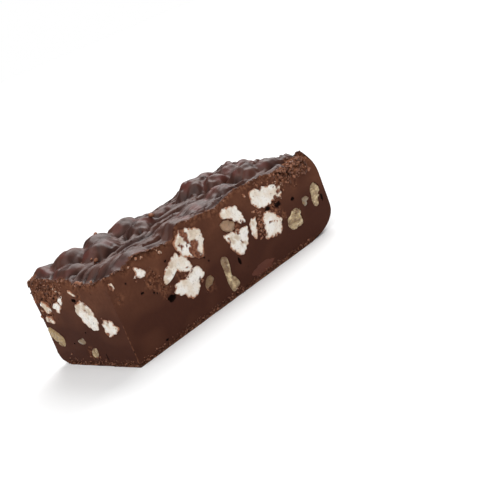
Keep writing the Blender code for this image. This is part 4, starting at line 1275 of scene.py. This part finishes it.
class FUDGE_OT_chunks(bpy.types.Operator):
    """Builds the marshmallow and walnut chunks that show in the bar's sides"""

    bl_idname = "fudge.chunks"
    bl_label = "Marshmallow and Walnut Chunks"

    def execute(self, context):
        sizes = context.scene.fudge_chunks
        foam = marshmallow_material(sizes)
        flesh, finishes = walnut_materials(sizes)
        placed = []
        for chunk in all_chunks():
            bm = lump_mesh(chunk, sizes.spacing)
            cut_at_sides(bm, PROUD)
            obj = new_object(chunk.name + "_cut", bm)
            neighbours = [other for other in placed if near(chunk, other)]
            if neighbours:
                cutters = new_collection("neighbours")
                for other in neighbours:
                    new_object("room", cutter_mesh(other, sizes.spacing), cutters)
                cut_by(obj, cutters)
                remove_collection(cutters)
            placed.append(chunk)
            material = foam if chunk.kind == "marshmallow" else finishes.get(chunk.name, flesh)
            finish_piece(obj, material, [chunk.name])
        return {"FINISHED"}


def beside(side, along, up, out):
    """A place this far out of one of the bar's sides, as the far end leans."""
    place = side_place(side, along, up, out)
    place.x -= end_lean(place.x, up)
    return place


def above(x, y, out):
    """A place on the skin, this far over it."""
    level = top_level(x, y)
    return Vector((x - end_lean(x, level), y, level + out))


def in_circle(radius):
    angle = random.uniform(0, math.tau)
    reach = radius * math.sqrt(random.random())
    return reach * math.cos(angle), reach * math.sin(angle)


def on_sides(patches):
    """Every patch of a table, after the name of its side."""
    for side, rows in patches.items():
        for row in rows:
            yield side, *row


def rubble_places(share):
    """Places of the crumbs that cover bare skin and broken cuts, each with its largest radius."""
    places = []
    for x, y, radius in BARE_SPOTS:
        for _ in range(round(share * 3.2 * radius * radius)):
            dx, dy = in_circle(1.1 * radius)
            spot_x = min(max(x + dx, -HALF_LENGTH + 0.3), HALF_LENGTH - 1.0)
            spot_y = min(max(y + dy, -HALF_WIDTH + 0.1), HALF_WIDTH - 0.5)
            places.append((above(spot_x, spot_y, -0.15), 0.8))
    for side, along, up, radius, strength in on_sides(BROKEN_PATCHES):
        for _ in range(round(share * 2.2 * strength * radius * radius)):
            da, du = in_circle(0.9 * radius)
            level = min(up + du, 28.6)
            places.append((beside(side, along + da, level, random.uniform(-0.75, 0.0)), 0.42))
    for _ in range(round(share * STREWN["front corner"])):
        x = HALF_LENGTH - 3 - 22 * random.random() ** 1.5
        level = along_stations(FRONT_RIM, x) - 6.0 * random.random() ** 1.3
        places.append((beside("front", x, level, random.uniform(-0.7, 0.05)), 0.95))
    for _ in range(round(share * STREWN["left rubble"])):
        y = random.uniform(2, HALF_WIDTH - 0.6)
        level = along_stations(LEFT_RIM, y) - 6.5 * random.random() ** 1.3
        places.append((beside("left", y, level, random.uniform(-0.7, 0.1)), 0.5))
    return places


def rim_places(share):
    """Places of the crumbs along the cut edges of the skin and the foot, each with its largest radius."""
    places = []
    for _ in range(round(share * STREWN["front rim"])):
        x = random.uniform(-HALF_LENGTH, HALF_LENGTH - 4.5)
        y = -HALF_WIDTH + max(0.0, random.uniform(-0.2, 1.1)) ** 2
        clump = 0.25 + 0.75 * smooth_step(0.5 + 1.6 * drift(x, 0, 4, 51.0))
        places.append((above(x, y, -0.08), 0.48 * clump))
    for _ in range(round(share * STREWN["left rim"])):
        y = random.uniform(-HALF_WIDTH, HALF_WIDTH - 0.5)
        x = -HALF_LENGTH + max(0.0, random.uniform(-0.2, 1.2)) ** 2
        clump = 0.25 + 0.75 * smooth_step(0.5 + 1.6 * drift(0, y, 4, 53.0))
        places.append((above(x, y, -0.08), 0.55 * clump))
    for _ in range(round(share * STREWN["front foot"])):
        x = random.uniform(-HALF_LENGTH, HALF_LENGTH - TRAY_END_RUN)
        level = 0.2 + 2.0 * random.random() ** 1.4
        places.append((beside("front", x, level, random.uniform(-0.2, 0.12)), 0.42))
    for _ in range(round(share * STREWN["left foot"])):
        y = random.uniform(-HALF_WIDTH, HALF_WIDTH - TRAY_SIDE_RUN)
        level = 0.2 + 2.4 * random.random() ** 1.4
        places.append((beside("left", y, level, random.uniform(-0.25, 0.05)), 0.4))
    return places


def add_crumb(bm, place, radius, lightest):
    """One rough crumb, with its own tone, or with the lightest."""
    axis = Vector((random.random(), 0.5, random.random())).normalized()
    turn = Matrix.Rotation(random.uniform(0, math.tau), 4, axis)
    least = 0.75 if lightest else 0.4
    wide = radius * random.uniform(least, 0.9)
    high = radius * random.uniform(least, 0.8)
    matrix = Matrix.Translation(place) @ turn @ Matrix.Diagonal((radius, wide, high, 1.0))
    made = bmesh.ops.create_icosphere(bm, subdivisions=1, radius=1.0, matrix=matrix)
    tone = 1.0 if lightest else random.random()
    tone_layer = bm.verts.layers.float["tone"]
    for vert in made["verts"]:
        vert.co = place + (vert.co - place) * random.uniform(0.75, 1.2)
        vert.co.x = max(vert.co.x, -HALF_LENGTH - 0.9)
        vert.co.z = max(vert.co.z, 0.02)
        vert[tone_layer] = tone


def crumbs_mesh(crumbs):
    """Crumbs in one mesh, each given as a place, a radius and whether it has the lightest tone."""
    bm = bmesh.new()
    bm.verts.layers.float.new("tone")
    for start in range(0, len(crumbs), CRUMB_BATCH):
        part = bmesh.new()
        part.verts.layers.float.new("tone")
        for crumb in crumbs[start : start + CRUMB_BATCH]:
            add_crumb(part, *crumb)
        mesh = bpy.data.meshes.new("part")
        part.to_mesh(mesh)
        part.free()
        bm.from_mesh(mesh)
        bpy.data.meshes.remove(mesh)
    return bm


class FUDGE_OT_crumbs(bpy.types.Operator):
    """Strews crumbs of fudge over the broken places and cut edges, and marshmallow flecks on the cuts"""

    bl_idname = "fudge.crumbs"
    bl_label = "Fudge Crumbs"

    def execute(self, context):
        sizes = context.scene.fudge_crumbs
        random.seed(12)
        crumbs = [(above(x, y, 0.6 * radius), radius, True) for x, y, radius in LOOSE_CRUMBS]
        for side, along, up, radius in on_sides(PRESSED_CRUMBS):
            for _ in range(CLUMP):
                da, du = in_circle(radius)
                place = beside(side, along + da, up + du, -0.1)
                crumbs.append((place, 0.55 * radius, random.random() < 0.6))
        for place, largest in rubble_places(sizes.share) + rim_places(sizes.share):
            crumbs.append((place, sizes.size * largest * (0.35 + 0.65 * random.random() ** 1.8), False))
        obj = new_object("fudge_crumbs", crumbs_mesh(crumbs))
        finish_piece(obj, crumb_material(context.scene.fudge_bar), [], sharp=60)
        flecks = []
        for side, along, up, radius in on_sides(FLECKS):
            for _ in range(CLUMP):
                da, du = in_circle(radius)
                place = beside(side, along + da, up + du, random.uniform(-0.2, 0.25))
                flecks.append((place, 0.7 * radius, False))
        obj = new_object("marshmallow_flecks", crumbs_mesh(flecks))
        finish_piece(obj, fleck_material(context.scene.fudge_chunks), [], sharp=60)
        return {"FINISHED"}


# The stage.
CAMERA_PLACE = Vector((-0.20772, -0.26436, 0.10192))
CAMERA_AIM = Vector((0.01211, -0.01527, 0.00889))
CAMERA_ROLL = math.radians(-21.52)
CAMERA_LENS = 72.0
SENSOR_WIDTH = 36.0
FLOOR_HALF = 2.5
# Where the lights are, as the camera sees it: right, up, and towards the camera.
KEY_FROM = (-0.05, 0.85, -0.45)
FILL_FROM = (-0.35, 0.55, 0.75)
# The spread of each light in degrees, as seen from the bar.
KEY_SPREAD = 50
FILL_SPREAD = 80


def add_camera():
    data = bpy.data.cameras.new("camera")
    data.lens = CAMERA_LENS
    data.sensor_width = SENSOR_WIDTH
    camera = bpy.data.objects.new("camera", data)
    turn = (CAMERA_AIM - CAMERA_PLACE).to_track_quat("-Z", "Y").to_matrix().to_4x4()
    camera.matrix_world = Matrix.Translation(CAMERA_PLACE) @ turn @ Matrix.Rotation(CAMERA_ROLL, 4, "Z")
    bpy.context.scene.collection.objects.link(camera)
    bpy.context.scene.camera = camera
    return camera


def add_broad_light(name, towards, strength, spread):
    """A softbox far away, in the given direction from the bar."""
    data = bpy.data.lights.new(name, "SUN")
    data.energy = strength
    data.angle = math.radians(spread)
    light = bpy.data.objects.new(name, data)
    light.rotation_euler = towards.to_track_quat("Z", "Y").to_euler()
    bpy.context.scene.collection.objects.link(light)


def white_room(sky):
    """A world that is white to look at, and lights the bar less than that."""
    world = bpy.data.worlds.new("white_room")
    world.use_nodes = True
    tree = world.node_tree
    background = tree.nodes["Background"]
    background.inputs["Color"].default_value = (1.0, 1.0, 1.0, 1.0)
    looked_at = tree.nodes.new("ShaderNodeLightPath").outputs["Is Camera Ray"]
    strength = add_node(tree, "ShaderNodeMapRange", {"Value": looked_at, "To Min": sky, "To Max": 1.0})
    tree.links.new(strength.outputs["Result"], background.inputs["Strength"])
    return world


class FUDGE_OT_stage(bpy.types.Operator):
    """Sets the pale floor, the soft studio light and the camera"""

    bl_idname = "fudge.stage"
    bl_label = "Studio Stage"

    def execute(self, context):
        sizes = context.scene.fudge_stage
        scene = context.scene
        scene.view_settings.view_transform = "Standard"
        scene.world = white_room(sizes.sky)
        bm = bmesh.new()
        bmesh.ops.create_grid(bm, x_segments=1, y_segments=1, size=FLOOR_HALF / MM)
        floor = new_object("floor", bm)
        pale = {"Base Color": (0.93, 0.93, 0.93, 1.0), "Roughness": 0.7, "Specular IOR Level": 0.2}
        floor.data.materials.append(Paint("pale_floor").finish(pale))
        camera = add_camera()
        turn = camera.matrix_world.to_3x3()
        add_broad_light("key", turn @ Vector(KEY_FROM), sizes.key, KEY_SPREAD)
        add_broad_light("fill", turn @ Vector(FILL_FROM), sizes.fill, FILL_SPREAD)
        return {"FINISHED"}


OPERATORS = (FUDGE_OT_bar, FUDGE_OT_chunks, FUDGE_OT_crumbs, FUDGE_OT_stage)


class FUDGE_PT_panel(bpy.types.Panel):
    """Lists the settings and the steps that build the bar"""

    bl_idname = "FUDGE_PT_panel"
    bl_label = "Nut Fudge Bar"
    bl_space_type = "VIEW_3D"
    bl_region_type = "UI"
    bl_category = "Fudge"

    def draw(self, context):
        layout = self.layout
        for group in ("fudge_bar", "fudge_chunks", "fudge_crumbs", "fudge_stage"):
            settings = getattr(context.scene, group)
            box = layout.box()
            for name in settings.bl_rna.properties.keys():
                if name not in ("rna_type", "name"):
                    box.prop(settings, name)
        for operator in OPERATORS:
            layout.operator(operator.bl_idname)


SETTINGS = {
    "fudge_bar": FudgeSettings,
    "fudge_chunks": ChunkSettings,
    "fudge_crumbs": CrumbSettings,
    "fudge_stage": StageSettings,
}


def register():
    for kind in (*SETTINGS.values(), *OPERATORS, FUDGE_PT_panel):
        bpy.utils.register_class(kind)
    for name, kind in SETTINGS.items():
        setattr(bpy.types.Scene, name, bpy.props.PointerProperty(type=kind))


def unregister():
    for name in SETTINGS:
        delattr(bpy.types.Scene, name)
    for kind in (FUDGE_PT_panel, *reversed(OPERATORS), *reversed(list(SETTINGS.values()))):
        bpy.utils.unregister_class(kind)


def main():
    register()
    bpy.ops.fudge.bar()
    bpy.ops.fudge.chunks()
    bpy.ops.fudge.crumbs()
    bpy.ops.fudge.stage()


if __name__ == "__main__":
    main()
